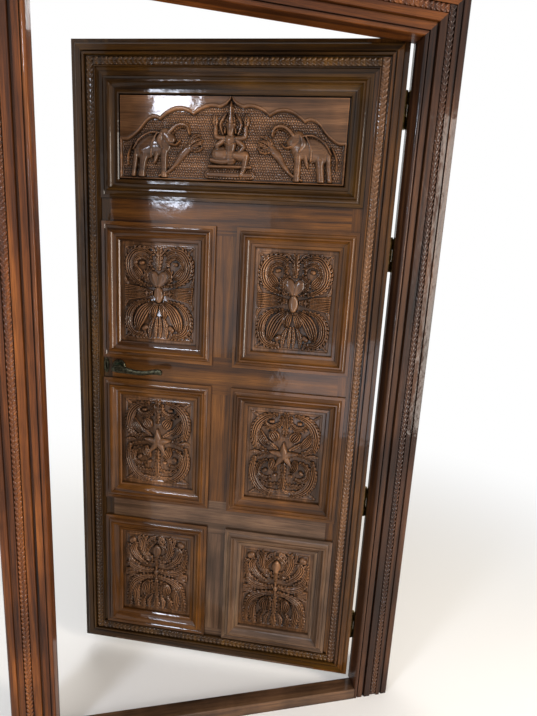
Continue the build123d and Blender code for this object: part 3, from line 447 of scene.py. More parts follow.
# How much clear varnish lies on the timber: on most of it, on the frame and the arch's
# moulding, and on the darker top and lock edges, where it has dulled
VARNISH, THIN_VARNISH, AGED_VARNISH = 0.45, 0.30, 0.25


def wood_figure(tree, where, grain):
    """The bands of teak along the grain and its pores, both as noise."""
    along, across = 1000 / BAND_LONG, 1000 / BAND_WIDE
    scale = {"X": (along, across, across), "Z": (across, across, along)}[grain]
    streaks = add(tree, "ShaderNodeMapping", Vector=where, Scale=scale).outputs[0]
    figure = add(tree, "ShaderNodeTexNoise", Vector=streaks, Scale=1.0, Detail=6.0, Roughness=0.55,
                 Distortion=0.8).outputs["Fac"]
    fine = tuple(s * (FINER_ACROSS if s == across else FINER_ALONG) for s in scale)
    pores = add(tree, "ShaderNodeMapping", Vector=where, Scale=fine).outputs[0]
    pore = add(tree, "ShaderNodeTexNoise", Vector=pores, Scale=1.0, Detail=2.0).outputs["Fac"]
    return figure, pore


def mitred_figure(tree, where, mitre):
    """The figure of a mitred moulding, whose grain runs along each of its lengths and turns at the
    corners. Mitre gives its centre and its half sizes."""
    (u, v), (half_u, half_v) = mitre
    middle = (-(LEAF_X0 + u) * MM, 0, -(LEAF_TOP - v) * MM)
    centred = add(tree, "ShaderNodeMapping", Vector=where, Location=middle).outputs[0]
    apart = add(tree, "ShaderNodeVectorMath", {"operation": "ABSOLUTE"}, i0=centred).outputs[0]
    split = add(tree, "ShaderNodeSeparateXYZ", i0=apart).outputs
    inner = add(tree, "ShaderNodeMath", {"operation": "SUBTRACT"}, i0=split["X"],
                i1=split["Z"]).outputs[0]
    upright = add(tree, "ShaderNodeMath", {"operation": "GREATER_THAN"}, i0=inner,
                  i1=(half_u - half_v) * MM).outputs[0]
    across, pore_x = wood_figure(tree, where, "X")
    along, pore_z = wood_figure(tree, where, "Z")
    figure = add(tree, "ShaderNodeMix", Factor=upright, i2=across, i3=along).outputs[0]
    pore = add(tree, "ShaderNodeMix", Factor=upright, i2=pore_x, i3=pore_z).outputs[0]
    return figure, pore


def teak(name, tones, grain="Z", leaf=True, mitre=None, carved=False, patch=280.0, wear_and_highlight=0.5,
         shade_and_grime=0.14, coat=VARNISH):
    """Teak under old brushed varnish: dark streaks on a golden ground, deep brown in the corners and creases,
    which is painted shade together with the soiling of age, paler in patches where hands and sun have worn
    it, with a wet shine. The patches are patch millimetres apart, wear_and_highlight lightens the ridges of
    carved wood as rubbing and painted highlight, and shade_and_grime is the share of its tone that a deep
    corner keeps under that painted shade."""
    material, tree = new_material(name)
    where = add(tree, "ShaderNodeTexCoord").outputs["Object"]
    if leaf:
        # The grain follows the leaf, which stands turned at rest
        pin = Vector((PIN[0] * MM, PIN[1] * MM, 0))
        back = Matrix.Rotation(-REST, 3, "Z")
        where = add(tree, "ShaderNodeMapping", Vector=where, Rotation=(0, 0, -REST),
                    Location=pin - back @ pin).outputs[0]
    figure, pore = mitred_figure(tree, where, mitre) if mitre else wood_figure(tree, where, grain)
    spots = add(tree, "ShaderNodeMapping", Vector=where, Scale=(1000 / patch,) * 3).outputs[0]
    spot = add(tree, "ShaderNodeTexNoise", Vector=spots, Scale=1.0, Detail=3.0, Roughness=0.55).outputs["Fac"]
    dark, body, gold = tones
    colour = add(tree, "ShaderNodeValToRGB", {"stops": ((0.30, dark), (0.50, body), (0.72, gold))},
                 Fac=figure).outputs[0]
    shade = add(tree, "ShaderNodeValToRGB", {"stops": ((0.34, 0.60), (0.52, 0.95), (0.66, 1.35))},
                Fac=spot).outputs[0]
    # Painted shade with the soiling of age: the tone darkens in corners, creases and hollows within 11 mm
    hollow = add(tree, "ShaderNodeAmbientOcclusion", {"samples": 8}, Distance=0.011).outputs["AO"]
    hollow_shade_and_dirt = add(tree, "ShaderNodeValToRGB", {"stops": ((0.25, shade_and_grime), (0.80, 1.0))}, Fac=hollow).outputs[0]
    fleck = add(tree, "ShaderNodeValToRGB", {"stops": ((0.36, 0.62), (0.58, 1.10))}, Fac=pore).outputs[0]
    layers = [shade, hollow_shade_and_dirt, fleck]
    if carved:
        # Painted shade and painted highlight on the carving: creases darken, and ridges are lightened as
        # rubbing and painted highlight
        ridge = add(tree, "ShaderNodeNewGeometry").outputs["Pointiness"]
        layers.append(add(tree, "ShaderNodeValToRGB",
                          {"stops": ((0.45, 0.60), (0.50, 1.0), (0.56, 1.0 + wear_and_highlight))}, Fac=ridge).outputs[0])
    for layer in layers:
        colour = add(tree, "ShaderNodeMix", {"data_type": "RGBA", "blend_type": "MULTIPLY"}, Factor=1.0,
                     i6=colour, i7=layer).outputs[2]
    grained = add(tree, "ShaderNodeBump", Strength=0.4, Distance=0.0004, Height=pore).outputs[0]
    strokes = add(tree, "ShaderNodeTexNoise", Vector=where, Scale=1000 / 60, Detail=3.0).outputs["Fac"]
    brushed = add(tree, "ShaderNodeBump", Strength=0.5, Distance=0.0022, Height=strokes).outputs[0]
    shader = add(tree, "ShaderNodeBsdfPrincipled", Base_Color=colour, Roughness=0.5, Normal=grained, IOR=1.5,
                 Specular_IOR_Level=0.08, Coat_Weight=coat, Coat_Roughness=0.09, Coat_Normal=brushed)
    add(tree, "ShaderNodeOutputMaterial", Surface=shader.outputs[0])
    return material


def cast_metal(name, dark, light, rough, bloom=None, grain=7.0):
    """Cast metal with a worn skin: its tone and shine change over patches of grain millimetres, and a
    bloom of another colour can lie in its hollows."""
    material, tree = new_material(name)
    where = add(tree, "ShaderNodeTexCoord").outputs["Object"]
    noise = add(tree, "ShaderNodeTexNoise", Vector=where, Scale=1000 / grain, Detail=4.0,
                Roughness=0.6).outputs["Fac"]
    colour = add(tree, "ShaderNodeValToRGB", {"stops": ((0.35, dark), (0.65, light))}, Fac=noise).outputs[0]
    if bloom:
        hollow = add(tree, "ShaderNodeAmbientOcclusion", {"samples": 6}, Distance=0.006).outputs["AO"]
        where_green = add(tree, "ShaderNodeValToRGB", {"stops": ((0.45, 0.85), (0.95, 0.0))},
                          Fac=hollow).outputs[0]
        colour = add(tree, "ShaderNodeMix", {"data_type": "RGBA"}, Factor=where_green, i6=colour,
                     i7=(*bloom, 1)).outputs[2]
    gloss = add(tree, "ShaderNodeValToRGB", {"stops": ((0.3, rough + 0.12), (0.7, rough))},
                Fac=noise).outputs[0]
    bump = add(tree, "ShaderNodeBump", Strength=0.25, Distance=0.0004, Height=noise).outputs[0]
    shader = add(tree, "ShaderNodeBsdfPrincipled", Base_Color=colour, Metallic=1.0, Roughness=gloss,
                 Normal=bump)
    add(tree, "ShaderNodeOutputMaterial", Surface=shader.outputs[0])
    return material


def length(name, description, default, low, high):
    """A length that a user can change, in metres."""
    return bpy.props.FloatProperty(name=name, description=description, default=default, min=low, max=high,
                                   subtype="DISTANCE", unit="LENGTH", precision=4)


def tone(name, description, code):
    """A colour that a user can change, from its hex code."""
    return bpy.props.FloatVectorProperty(name=name, description=description, subtype="COLOR", size=3,
                                         min=0, max=1, default=linear(code))


class DoorSizes(bpy.types.PropertyGroup):
    """Sizes of what is cut and cast."""
    field_w: length("Field width", "Width of a carved field", 0.230, 0.1, 0.3)
    field_h: length("Field height", "Height of a carved field", 0.298, 0.1, 0.4)
    grid: length("Grid", "Distance between the grid lines of a carved face", 0.00135, 0.0008, 0.004)
    stray: length("Hand", "How far the chisel strays from the drawing", 0.0015, 0.0, 0.005)
    leaf_pitch: length("Leaf pitch", "Distance from one pair of chain leaves to the next", 0.015, 0.008, 0.04)
    lever_len: length("Lever", "Reach of a lever from its spindle", 0.166, 0.1, 0.2)


class DoorTones(bpy.types.PropertyGroup):
    """The tones of the varnished teak and the metal."""
    leaf_dark: tone("Leaf streaks", "Dark streaks of the leaf", "#281507")
    leaf_body: tone("Leaf", "Main tone of the leaf", "#55320f")
    leaf_gold: tone("Leaf light", "Light streaks of the leaf", "#6f4519")
    cut_dark: tone("Carving streaks", "Dark streaks of the carved boards", "#3a2514")
    cut_body: tone("Carving", "Main tone of the carved boards", "#563922")
    cut_gold: tone("Carving light", "Light streaks of the carved boards", "#735034")
    # Paler, greyer tones of the low rails: bleached wood, with a painted reflection in them
    worn_dark: tone("Low rail streaks", "Dark streaks of the bleached low rails", "#3a291a")
    worn_body: tone("Low rails", "Main tone of the bleached low rails", "#5a4230")
    worn_gold: tone("Low rail light", "Light streaks of the bleached low rails", "#765b42")
    jamb_dark: tone("Jamb streaks", "Dark streaks of the frame", "#261207")
    jamb_body: tone("Jamb", "Main tone of the frame", "#5b3012")
    jamb_gold: tone("Jamb light", "Light streaks of the frame", "#854c1e")
    sill_dark: tone("Sill streaks", "Dark streaks of the worn sill", "#2c1d12")
    sill_body: tone("Sill", "Main tone of the worn sill", "#4a3322")
    sill_gold: tone("Sill light", "Light streaks of the worn sill", "#664a32")
    bronze: tone("Bronze", "Rubbed skin of the levers and roses", "#4d4a3a")
    verdigris: tone("Verdigris", "Green in the bronze's hollows", "#2c4a38")


# The finishes by name, which the first operator makes
MATERIALS = {}

# What is left of red, green and blue on the top and lock edges, darkened as painted shade with old varnish,
# and on the hinge jamb, darkened as painted shade
AGED_AND_SHADED, SHADED = (0.44, 0.50, 0.36), (0.36, 0.46, 0.90)

# A CAD node's finish goes by the first of these that its name starts with. Mouldings
# have finishes of their own, and what is not listed is lock steel.
FINISHES = (
    ("jamb_hinge", "jamb_far"), ("jamb", "jamb"), ("head", "head"), ("sill", "sill"),
    ("rail_top", "aged_across"), ("rail_lower", "worn_across"), ("rail_bottom", "worn_across"),
    ("rail", "across"), ("muntin_lower", "worn_upright"), ("muntin", "upright"),
    ("border_top", "aged_across"), ("border_bottom", "aged_across"), ("border_lock", "aged_upright"),
    ("border", "upright"), ("stile_lock", "aged_upright"), ("stile", "upright"),
    ("panel_arch", "across"), ("panel", "upright"), ("lever_spring", "steel"), ("lever", "bronze"),
    ("rose", "bronze"), ("key_plate", "bronze"), ("hinge", "brass"),
)


def shades_of(tones, name):
    """The dark, main and light tones of one kind of timber."""
    return [tuple(getattr(tones, name + "_" + part)) for part in ("dark", "body", "gold")]


def darkened(shades, left):
    """The shades with these shares of their red, green and blue left."""
    return [tuple(c * share for c, share in zip(shade, left)) for shade in shades]


class DOOR_OT_timber(bpy.types.Operator):
    """Varnishes the frame and the leaf's own members, and gives the ironmongery its metals"""
    bl_idname = "door.timber"
    bl_label = "Timber and Metals"

    def execute(self, context):
        t = context.scene.door_tones
        leaf, cut, worn, jamb, sill = (shades_of(t, name) for name in ("leaf", "cut", "worn", "jamb", "sill"))
        made = MATERIALS
        # Golden brown boards with a wet shine, darker along the top and lock edges, as painted shade with old
        # varnish
        made["upright"] = teak("teak_varnished_upright", leaf)
        made["across"] = teak("teak_varnished_across", leaf, grain="X")
        # Darker tones for the top and lock edges: painted shade together with old varnish
        aged_and_shaded = darkened(leaf, AGED_AND_SHADED)
        made["aged_upright"] = teak("teak_aged_upright", aged_and_shaded, coat=AGED_VARNISH)
        made["aged_across"] = teak("teak_aged_across", aged_and_shaded, grain="X", coat=AGED_VARNISH)
        # Duller brown on the carving, with painted shade in its hollows and pale ridges that are rubbing and
        # painted highlight, and paler, greyer low rails, bleached and with a painted reflection
        made["carved"] = teak("teak_varnished_carved", cut, carved=True, patch=170.0, wear_and_highlight=0.9)
        made["carved_wide"] = teak("teak_varnished_carved_wide", cut, grain="X", carved=True, patch=170.0,
                                   wear_and_highlight=0.9)
        made["worn_upright"] = teak("teak_worn_upright", worn)
        made["worn_across"] = teak("teak_worn_across", worn, grain="X")
        # Small leaves that read as one ribbed cord along each edge
        made["chain"] = teak("teak_varnished_chain", cut, carved=True, patch=170.0, wear_and_highlight=0.1, shade_and_grime=0.45)
        # The chains along the lock, top and bottom edges take these darker tones too: painted shade with old
        # varnish
        made["aged_chain"] = teak("teak_aged_chain", aged_and_shaded, carved=True, patch=170.0, wear_and_highlight=0.4,
                                  shade_and_grime=0.45)
        # Redder timber on the frame, and a darker and duller hinge jamb, its darkness painted shade
        made["jamb"] = teak("teak_jamb_upright", jamb, leaf=False, coat=THIN_VARNISH)
        shaded = darkened(jamb, SHADED)
        made["jamb_far"] = teak("teak_jamb_shaded", shaded, leaf=False, coat=THIN_VARNISH)
        made["head"] = teak("teak_jamb_across", jamb, grain="X", leaf=False, coat=THIN_VARNISH)
        made["jamb_chain"] = teak("teak_jamb_chain", jamb, leaf=False, carved=True, wear_and_highlight=0.1, shade_and_grime=0.45)
        made["jamb_far_chain"] = teak("teak_jamb_shaded_chain", shaded, leaf=False, carved=True, wear_and_highlight=0.1,
                                      shade_and_grime=0.45)
        # Dull trodden wood without the leaf's gold
        made["sill"] = teak("teak_sill_worn", sill, grain="X", leaf=False, patch=130.0)
        # Near black castings with green in the hollows, tarnished brass hinges, and plain grey lock steel
        made["bronze"] = cast_metal("bronze_cast_darkened", linear("#15150f"), tuple(t.bronze), 0.30,
                                    tuple(t.verdigris))
        made["brass"] = cast_metal("brass_hinge_tarnished", linear("#3a2c16"), linear("#80693a"), 0.34)
        made["steel"] = cast_metal("steel_plated_worn", linear("#6c6b66"), linear("#a6a49c"), 0.30)
        # The mouldings are mitred, so each has a figure round its own centre
        # The arch's moulding takes the darker edge tones too: painted shade with old varnish
        made["moulding_arch"] = teak("teak_moulding_arch", aged_and_shaded, mitre=(ARCH_CENTRE, ARCH_MOULDING),
                                     patch=200.0, coat=THIN_VARNISH)
        for row, v in ROWS.items():
            for side, u in COLUMNS.items():
                name = "moulding_" + row + "_" + side
                # The lower hinge-side moulding takes the paler, greyer low-rail tones: bleached wood with a
                # painted reflection
                shades = worn if (row, side) == ("lower", "hinge") else leaf
                made[name] = teak("teak_" + name, shades, mitre=((u, v), ROW_MOULDING), patch=200.0)
        for name, node in nodes.items():
            listed = (finish for start, finish in FINISHES if name.startswith(start))
            finish = name if name in made else next(listed, "steel")
            node.data.materials.clear()
            node.data.materials.append(made[finish])
        return {"FINISHED"}


# A row panel's field in millimetres, inwards from its edge: its edge lies FIELD_RIM
# outside the drawing, it rises over RIM_RUN, and the ground sinks from SINK_FROM on
FIELD_RIM, RIM_RISE, RIM_RUN = 3, 1.5, 2
SINK_FROM, SINK_RUN, GROUND_SINK = 6, 3, 2.5

# How the hand strays: lengths of its waves in millimetres, and the shift from one row
# and one column to the next
HAND_WAVES = ((31, 47), (37, 53))
ROW_SHIFT, COLUMN_SHIFT = 2.1, {"lock": 0.0, "hinge": 1.3}


class DOOR_OT_carved_panels(bpy.types.Operator):
    """Carves the six panels in their three patterns"""
    bl_idname = "door.carved_panels"
    bl_label = "Carved Panels"

    def execute(self, context):
        s = context.scene.door_sizes
        half_w, half_h, step, stray = (a / MM for a in (s.field_w / 2, s.field_h / 2, s.grid, s.stray))
        wide, high = 2 * half_w / DRAWN_FIELD[0], 2 * half_h / DRAWN_FIELD[1]
        patterns = {"upper": LOTUS_SCROLL + mirrored(LOTUS_SCROLL_PAIR),
                    "middle": STAR_VINE + mirrored(STAR_VINE_PAIR),
                    "lower": SPINE_FEATHER + mirrored(SPINE_FEATHER_PAIR)}
        xs = lines_between(ROW_BOARD[0], half_w + FIELD_RIM, step)
        ys = lines_between(ROW_BOARD[1], half_h + FIELD_RIM, step)
        gx, gy = np.meshgrid(xs, ys)
        edge = np.minimum(half_w + FIELD_RIM - abs(gx), half_h + FIELD_RIM - abs(gy))
        ground = (RIM_RISE * np.clip(edge / RIM_RUN, 0, 1)
                  - GROUND_SINK * np.clip((edge - SINK_FROM) / SINK_RUN, 0, 1))
        (x_wave, x_swell), (y_wave, y_swell) = HAND_WAVES
        for number, (row, v) in enumerate(ROWS.items()):
            strokes = scaled(grown(patterns[row]), wide, high)
            for side, u in COLUMNS.items():
                phase = number * ROW_SHIFT + COLUMN_SHIFT[side]
                wx = gx + stray * np.sin(gy / x_wave + phase) * np.cos(gx / x_swell + phase)
                wy = gy + stray * np.cos(gx / y_wave - phase) * np.sin(gy / y_swell + phase)
                cut = carve(wx, wy, strokes, ground)
                height = ground + (cut - ground) * np.clip(edge / FIELD_RIM, 0, 1)
                board = relief_board((u, v), xs, ys, height)
                name = row + "_" + side
                piece = finish_piece(board, "carved_" + name, "carved", "leaf", LEAF)
                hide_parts("panel_" + name)
        return {"FINISHED"}


# The arch: half its outline from the tip down, drawn on a half width of 334 and a height of 225.
# Each lobe is a curve from where the last one ended, through its crown, to its cusp.
DRAWN_ARCH = (334.0, 225.0)
ARCH_LOBES = [
    ((11.0, 206.0), (36.0, 195.0)),
    ((74.0, 195.0), (113.0, 174.0)),
    ((163.0, 187.0), (215.0, 159.0)),
    ((238.0, 164.0), (262.0, 149.0)),
    ((289.0, 120.0), (318.0, 103.0)),
]


def arch_top(x):
    """The arch's height over its base line at each x."""
    wide, high = ARCH_HALF / DRAWN_ARCH[0], ARCH_H / DRAWN_ARCH[1]
    start, points = (0.0, DRAWN_ARCH[1]), []
    for crown, cusp in ARCH_LOBES:
        for t in np.linspace(0, 1, 12, endpoint=False):
            share = (2 * (t - 0.5) * (t - 1), 4 * t * (1 - t), 2 * t * (t - 0.5))
            points.append([sum(w * p[i] for w, p in zip(share, (start, crown, cusp))) for i in (0, 1)])
        start = cusp
    points += [ARCH_LOBES[-1][1], (DRAWN_ARCH[0], ARCH_LOBES[-1][1][1])]
    xs, ys = np.array(points).T
    return np.interp(abs(x), xs * wide, ys * high)


# The figure panel in millimetres from the arch's outline: how far in the cut wall ends
# and how wide it is, how far in the pebbles start, and the lip's rise, the place of its
# crest outside the outline and its spread. The slab's own edge slopes over SLAB_RUN.
WALL_END, WALL_RUN, PEBBLES_IN, SLAB_RUN = 1.5, 2.5, 4.0, 2
LIP_RISE, LIP_OUT, LIP_SPREAD = 1.6, 5.0, 2.4


class DOOR_OT_figure_panel(bpy.types.Operator):
    """Carves the top panel: a seated figure between two elephants under a cusped arch"""
    bl_idname = "door.figure_panel"
    bl_label = "Figure Panel"

    def execute(self, context):
        step = context.scene.door_sizes.grid / MM
        slab_w, slab_h, slab_rise = ARCH_SLAB
        xs = lines_between(ARCH_BOARD[0], slab_w, step)
        ys = lines_between(ARCH_BOARD[1], slab_h, step)
        gx, gy = np.meshgrid(xs, ys)
        up = gy + (ARCH_BASE - ARCH_CENTRE[1])
        depth = np.minimum(arch_top(gx) - up, np.minimum(ARCH_HALF - abs(gx), up))
        ground = np.where(depth > PEBBLES_IN, pebbled(gx, up), 0)
        strokes = scaled(SEATED_FIGURE + mirrored(SEATED_FIGURE_PAIR) + mirrored(ELEPHANT_PAIR),
                         ARCH_HALF / DRAWN_ARCH[0], ARCH_H / DRAWN_ARCH[1])
        figures = carve(gx, up, strokes, ground)
        slab = (slab_rise * np.clip((slab_w - abs(gx)) / SLAB_RUN, 0, 1)
                * np.clip((slab_h - abs(gy)) / SLAB_RUN, 0, 1))
        lip = LIP_RISE * np.exp(-((depth + LIP_OUT) / LIP_SPREAD) ** 2)
        wall = np.clip((WALL_END - depth) / WALL_RUN, 0, 1)
        high = np.where(depth > WALL_END, figures, (slab + lip) * wall)
        board = relief_board(ARCH_CENTRE, xs, ys, high)
        piece = finish_piece(board, "carved_figures", "carved_wide", "leaf", LEAF)
        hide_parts("panel_arch")
        return {"FINISHED"}


# A chain in millimetres: the rise of its rounded strip, and its small leaves' rise,
# how far they stand out of the strip's middle, and their lean in degrees. Their half
# width and place are shares of the strip's half width, their half length of the pitch.
# The frame's chains are narrower and lie lower, so that they don't stand past its face.
STRIP_RISE, SPRIG_RISE, SPRIG_PROUD, SPRIG_LEAN = 4.8, 4.2, 3.0, 34
SPRIG_HALF, SPRIG_PLACE, SPRIG_LONG = 0.40, 0.42, 0.62
CHAIN_W, FRAME_CHAIN_W, FRAME_CHAIN_SUNK = 24.0, 21.0, 1.2

# How far a chain runs past its corner or stops short of it, in millimetres
CHAIN_PAST, CHAIN_SHORT, JAMB_PAST, HEAD_SHORT, JAMB_FOOT = 11, 12, 10, 11, 8


def leaf_chain(name, material, body, start, end, level, outward, across, place=None):
    """A rope of small leaf pairs on a rounded strip, from start to end along X or Z."""
    pitch = bpy.context.scene.door_sizes.leaf_pitch
    run = Vector(end) - Vector(start)
    count = int(run.length * MM / pitch)
    half = across / 2 * MM
    deselect()
    bpy.ops.mesh.primitive_cylinder_add(vertices=16, radius=1, depth=run.length * MM, end_fill_type="NGON")
    strip = bpy.context.object
    strip.scale = (half, STRIP_RISE * MM, 1)
    pieces = [strip]
    for side in (-1, 1):
        bpy.ops.mesh.primitive_uv_sphere_add(segments=8, ring_count=6, radius=1)
        sprig = bpy.context.object
        sprig.scale = (half * SPRIG_HALF, SPRIG_RISE * MM, pitch * SPRIG_LONG)
        sprig.rotation_euler = (0, side * math.radians(SPRIG_LEAN), 0)
        sprig.location = (side * half * SPRIG_PLACE, -SPRIG_PROUD * MM, -run.length / 2 * MM + pitch / 2)
        bpy.ops.object.transform_apply(location=True, rotation=True, scale=True)
        bpy.ops.object.modifier_add(type="ARRAY")
        array = sprig.modifiers[-1]
        array.count = count
        array.use_relative_offset = False
        array.use_constant_offset = True
        array.constant_offset_displace = (0, 0, run.length * MM / count)
        bpy.ops.object.modifier_apply(modifier=array.name)
        pieces.append(sprig)
    pick(strip)
    bpy.ops.object.transform_apply(location=True, rotation=True, scale=True)
    rope = join(pieces)
    bpy.ops.object.shade_smooth_by_angle(angle=math.radians(60))
    middle = (Vector(start) + Vector(end)) / 2
    turn = Matrix.Rotation(math.radians(90), 4, "Y") if abs(run.x) > abs(run.z) else Matrix.Identity(4)
    rope.matrix_world = Matrix.Translation(Vector((middle.x, level - outward, middle.z)) * MM) @ turn
    return finish_piece(rope, name, material, body, place)


class DOOR_OT_leaf_chains(bpy.types.Operator):
    """Lays the small carved leaves along the leaf's border, the jambs and the head"""
    bl_idname = "door.leaf_chains"
    bl_label = "Leaf Chains"

    def execute(self, context):
        low, high = LEAF_FOOT + BORDER_BAND, LEAF_TOP - BORDER_BAND
        left, right = LEAF_X0 + BORDER_BAND, LEAF_X0 + LEAF_W - BORDER_BAND
        foot, head = low - CHAIN_PAST, high + CHAIN_PAST
        near, far = left + CHAIN_SHORT, right - CHAIN_SHORT
        runs = {"border_lock": ((left, 0, foot), (left, 0, head)),
                "border_hinge": ((right, 0, foot), (right, 0, head)),
                "border_top": ((near, 0, high), (far, 0, high)),
                "border_bottom": ((near, 0, low), (far, 0, low))}
        for name, (start, end) in runs.items():
            material = "chain" if name == "border_hinge" else "aged_chain"
            leaf_chain("leaves_" + name, material, "leaf", start, end, FACE_Y, BORDER_FLOOR,
                       CHAIN_W, LEAF)
        side, top = OPENING_HALF + FRAME_BAND, LIP_Z + FRAME_BAND
        foot, head, half = JAMB_FOOT, top + JAMB_PAST, side - HEAD_SHORT
        runs = {"jamb_lock": ((-side, 0, foot), (-side, 0, head)),
                "jamb_hinge": ((side, 0, foot), (side, 0, head)),
                "head": ((-half, 0, top), (half, 0, top))}
        for name, (start, end) in runs.items():
            material = "jamb_far_chain" if name == "jamb_hinge" else "jamb_chain"
            leaf_chain("leaves_" + name, material, "door_frame", start, end,
                       FRAME_FRONT + FRAME_FLOOR, -FRAME_CHAIN_SUNK, FRAME_CHAIN_W)
        return {"FINISHED"}


# A lever's middle line from its neck: share of its length, rise, half height and half thickness in mm
LEVER_LINE = [(-0.02, 0.0, 11.0, 7.0), (0.12, 2.0, 13.5, 7.5), (0.26, -1.0, 11.5, 7.0),
              (0.42, -5.0, 9.0, 6.0), (0.58, -6.0, 8.5, 5.5), (0.72, -3.0, 8.0, 5.4),
              (0.84, 2.0, 9.0, 5.6), (0.93, 3.0, 11.0, 6.5), (1.0, -1.0, 8.0, 5.5)]

# The round parts of a lever in millimetres: the radius of its neck, the radius and
# thickness of the collar and of the scroll at its tip, and the rounding of their rims
NECK_R, COLLAR, SCROLL, RIM_ROUND = 8.5, (10.5, 5.0), (8.5, 10.5), 1.4

# Where they stand from the leaf's face, how far short of LEVER_STAND the neck ends and
# the arm's middle lies, and the scroll's place from the lever's tip
NECK_OUT, COLLAR_OUT, NECK_SHORT, ARM_SHORT = 1, 9, 4, 5
SCROLL_BACK, SCROLL_UP = 9, 1


def waved_arm(root, reach):
    """A lever's arm in millimetres: a disc at its root drawn out along LEVER_LINE, then rounded."""
    places = [(root + Vector((share * reach, 0, rise))) * MM for share, rise, _, _ in LEVER_LINE]
    deselect()
    bpy.ops.mesh.primitive_circle_add(vertices=12, radius=1, fill_type="NGON",
                                      rotation=(0, math.radians(90), 0))
    arm = bpy.context.object
    bpy.ops.object.transform_apply(location=True, rotation=True, scale=True)
    _, _, tall, thick = LEVER_LINE[0]
    arm.scale = (1, thick * MM, tall * MM)
    arm.location = places[0]
    bpy.ops.object.transform_apply(location=True, rotation=True, scale=True)
    bpy.ops.object.mode_set(mode="EDIT")
    bpy.ops.mesh.select_mode(type="FACE")
    for (_, _, h0, t0), (_, _, h1, t1), last, here in zip(LEVER_LINE, LEVER_LINE[1:], places, places[1:]):
        bpy.ops.mesh.extrude_region_move(TRANSFORM_OT_translate={"value": here - last})
        bpy.ops.transform.resize(value=(1, t1 / t0, h1 / h0), center_override=here)
    bpy.ops.mesh.select_all(action="SELECT")
    bpy.ops.mesh.normals_make_consistent(inside=False)
    bpy.ops.object.mode_set(mode="OBJECT")
    bpy.ops.object.modifier_add(type="SUBSURF")
    arm.modifiers[-1].levels = arm.modifiers[-1].render_levels = 2
    bpy.ops.object.modifier_apply(modifier=arm.modifiers[-1].name)
    return arm


def round_bar(at, radius, depth):
    """A short round bar along Y with rounded rims, at a point in millimetres."""
    bpy.ops.mesh.primitive_cylinder_add(vertices=32, radius=radius * MM, depth=depth * MM,
                                        location=at * MM, rotation=(math.radians(90), 0, 0))
    bar = bpy.context.object
    bpy.ops.object.modifier_add(type="BEVEL")
    bevel = bar.modifiers[-1]
    bevel.width, bevel.segments = RIM_ROUND * MM, 3
    bpy.ops.object.modifier_apply(modifier=bevel.name)
    return bar


class DOOR_OT_levers(bpy.types.Operator):
    """Casts the two waved levers with their collars and scrolled ends"""
    bl_idname = "door.levers"
    bl_label = "Levers"

    def execute(self, context):
        reach = context.scene.door_sizes.lever_len / MM
        middle_y = FACE_Y + LEAF_T / 2
        spot = Vector((LEAF_X0 + SPINDLE_U, 0, LEAF_TOP - LOCK_V))
        for way, side in ((-1, "front"), (1, "rear")):
            face = middle_y + way * LEAF_T / 2
            start, stand = face + way * NECK_OUT, face + way * (LEVER_STAND - NECK_SHORT)
            level = face + way * (LEVER_STAND - ARM_SHORT)
            pieces = [waved_arm(spot + Vector((0, level, 0)), reach),
                      round_bar(spot + Vector((0, (start + stand) / 2, 0)), NECK_R, abs(stand - start)),
                      round_bar(spot + Vector((0, face + way * COLLAR_OUT, 0)), *COLLAR),
                      round_bar(spot + Vector((reach - SCROLL_BACK, level, SCROLL_UP)), *SCROLL)]
            lever = join(pieces)
            bpy.ops.object.shade_smooth_by_angle(angle=math.radians(40))
            lever.matrix_world = LEAF @ lever.matrix_world
            piece = finish_piece(lever, "cast_lever_" + side, "bronze", "lever_handle")
            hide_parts("lever_" + side)
        return {"FINISHED"}


# The camera at the photograph's angle: its place in metres, its turns in degrees, and
# its focal length and the picture's longer side in pixels
CAMERA_AT = (-0.1829, -1.341, 1.501)
YAW, PITCH, ROLL = 12.825, 11.836, 3.164
FOCAL_PX, PICTURE_PX, SENSOR_MM = 480.0, 716.0, 36.0

# The floor's size and the ring in which it fades to white, in metres, and the light
# of the surround
FLOOR, FADE_FROM, FADE_TO, SURROUND = 60, 1.0, 3.0, 0.50

# The lamps: place, aim and size in metres, watts and tint. The first three shine back
# from the varnish like the panes of a tall window, and key draws light lines down the
# hinge jamb's reeds.
LAMPS = (
    ("window", (-1.75, -1.58, 2.59), (-0.19, 0.26, 1.93), (0.50, 0.20), 27.0, "#e6eeff"),
    ("pane", (-1.75, -1.66, 1.95), (-0.15, 0.25, 1.66), (0.34, 0.10), 7.0, "#e0ebff"),
    ("slit", (-1.88, -1.54, 1.06), (-0.25, 0.30, 1.24), (0.26, 0.07), 4.0, "#e0ebff"),
    ("key", (1.9, -1.8, 1.35), (0.1, 0.1, 1.1), (0.5, 2.3), 74.0, "#fff4e8"),
    ("low", (-0.35, -2.25, 0.45), (0.2, 0.1, 0.8), (1.1, 0.8), 9.0, "#e8eefc"),
    ("fill", (-2.2, -2.4, 1.4), (-0.2, 0.1, 1.1), (1.8, 1.8), 12.0, "#eef4ff"),
    ("back", (-0.8, 3.2, 2.4), (0.0, 0.2, 1.1), (2.0, 2.0), 45.0, "#ffffff"),
)


def seen_rays(tree):
    """One for the rays that show the surround, which are camera, glossy and transmission rays."""
    path = add(tree, "ShaderNodeLightPath").outputs
    seen = path["Is Camera Ray"]
    for ray in ("Is Glossy Ray", "Is Transmission Ray"):
        seen = add(tree, "ShaderNodeMath", {"operation": "MAXIMUM"}, i0=seen, i1=path[ray]).outputs[0]
    return seen


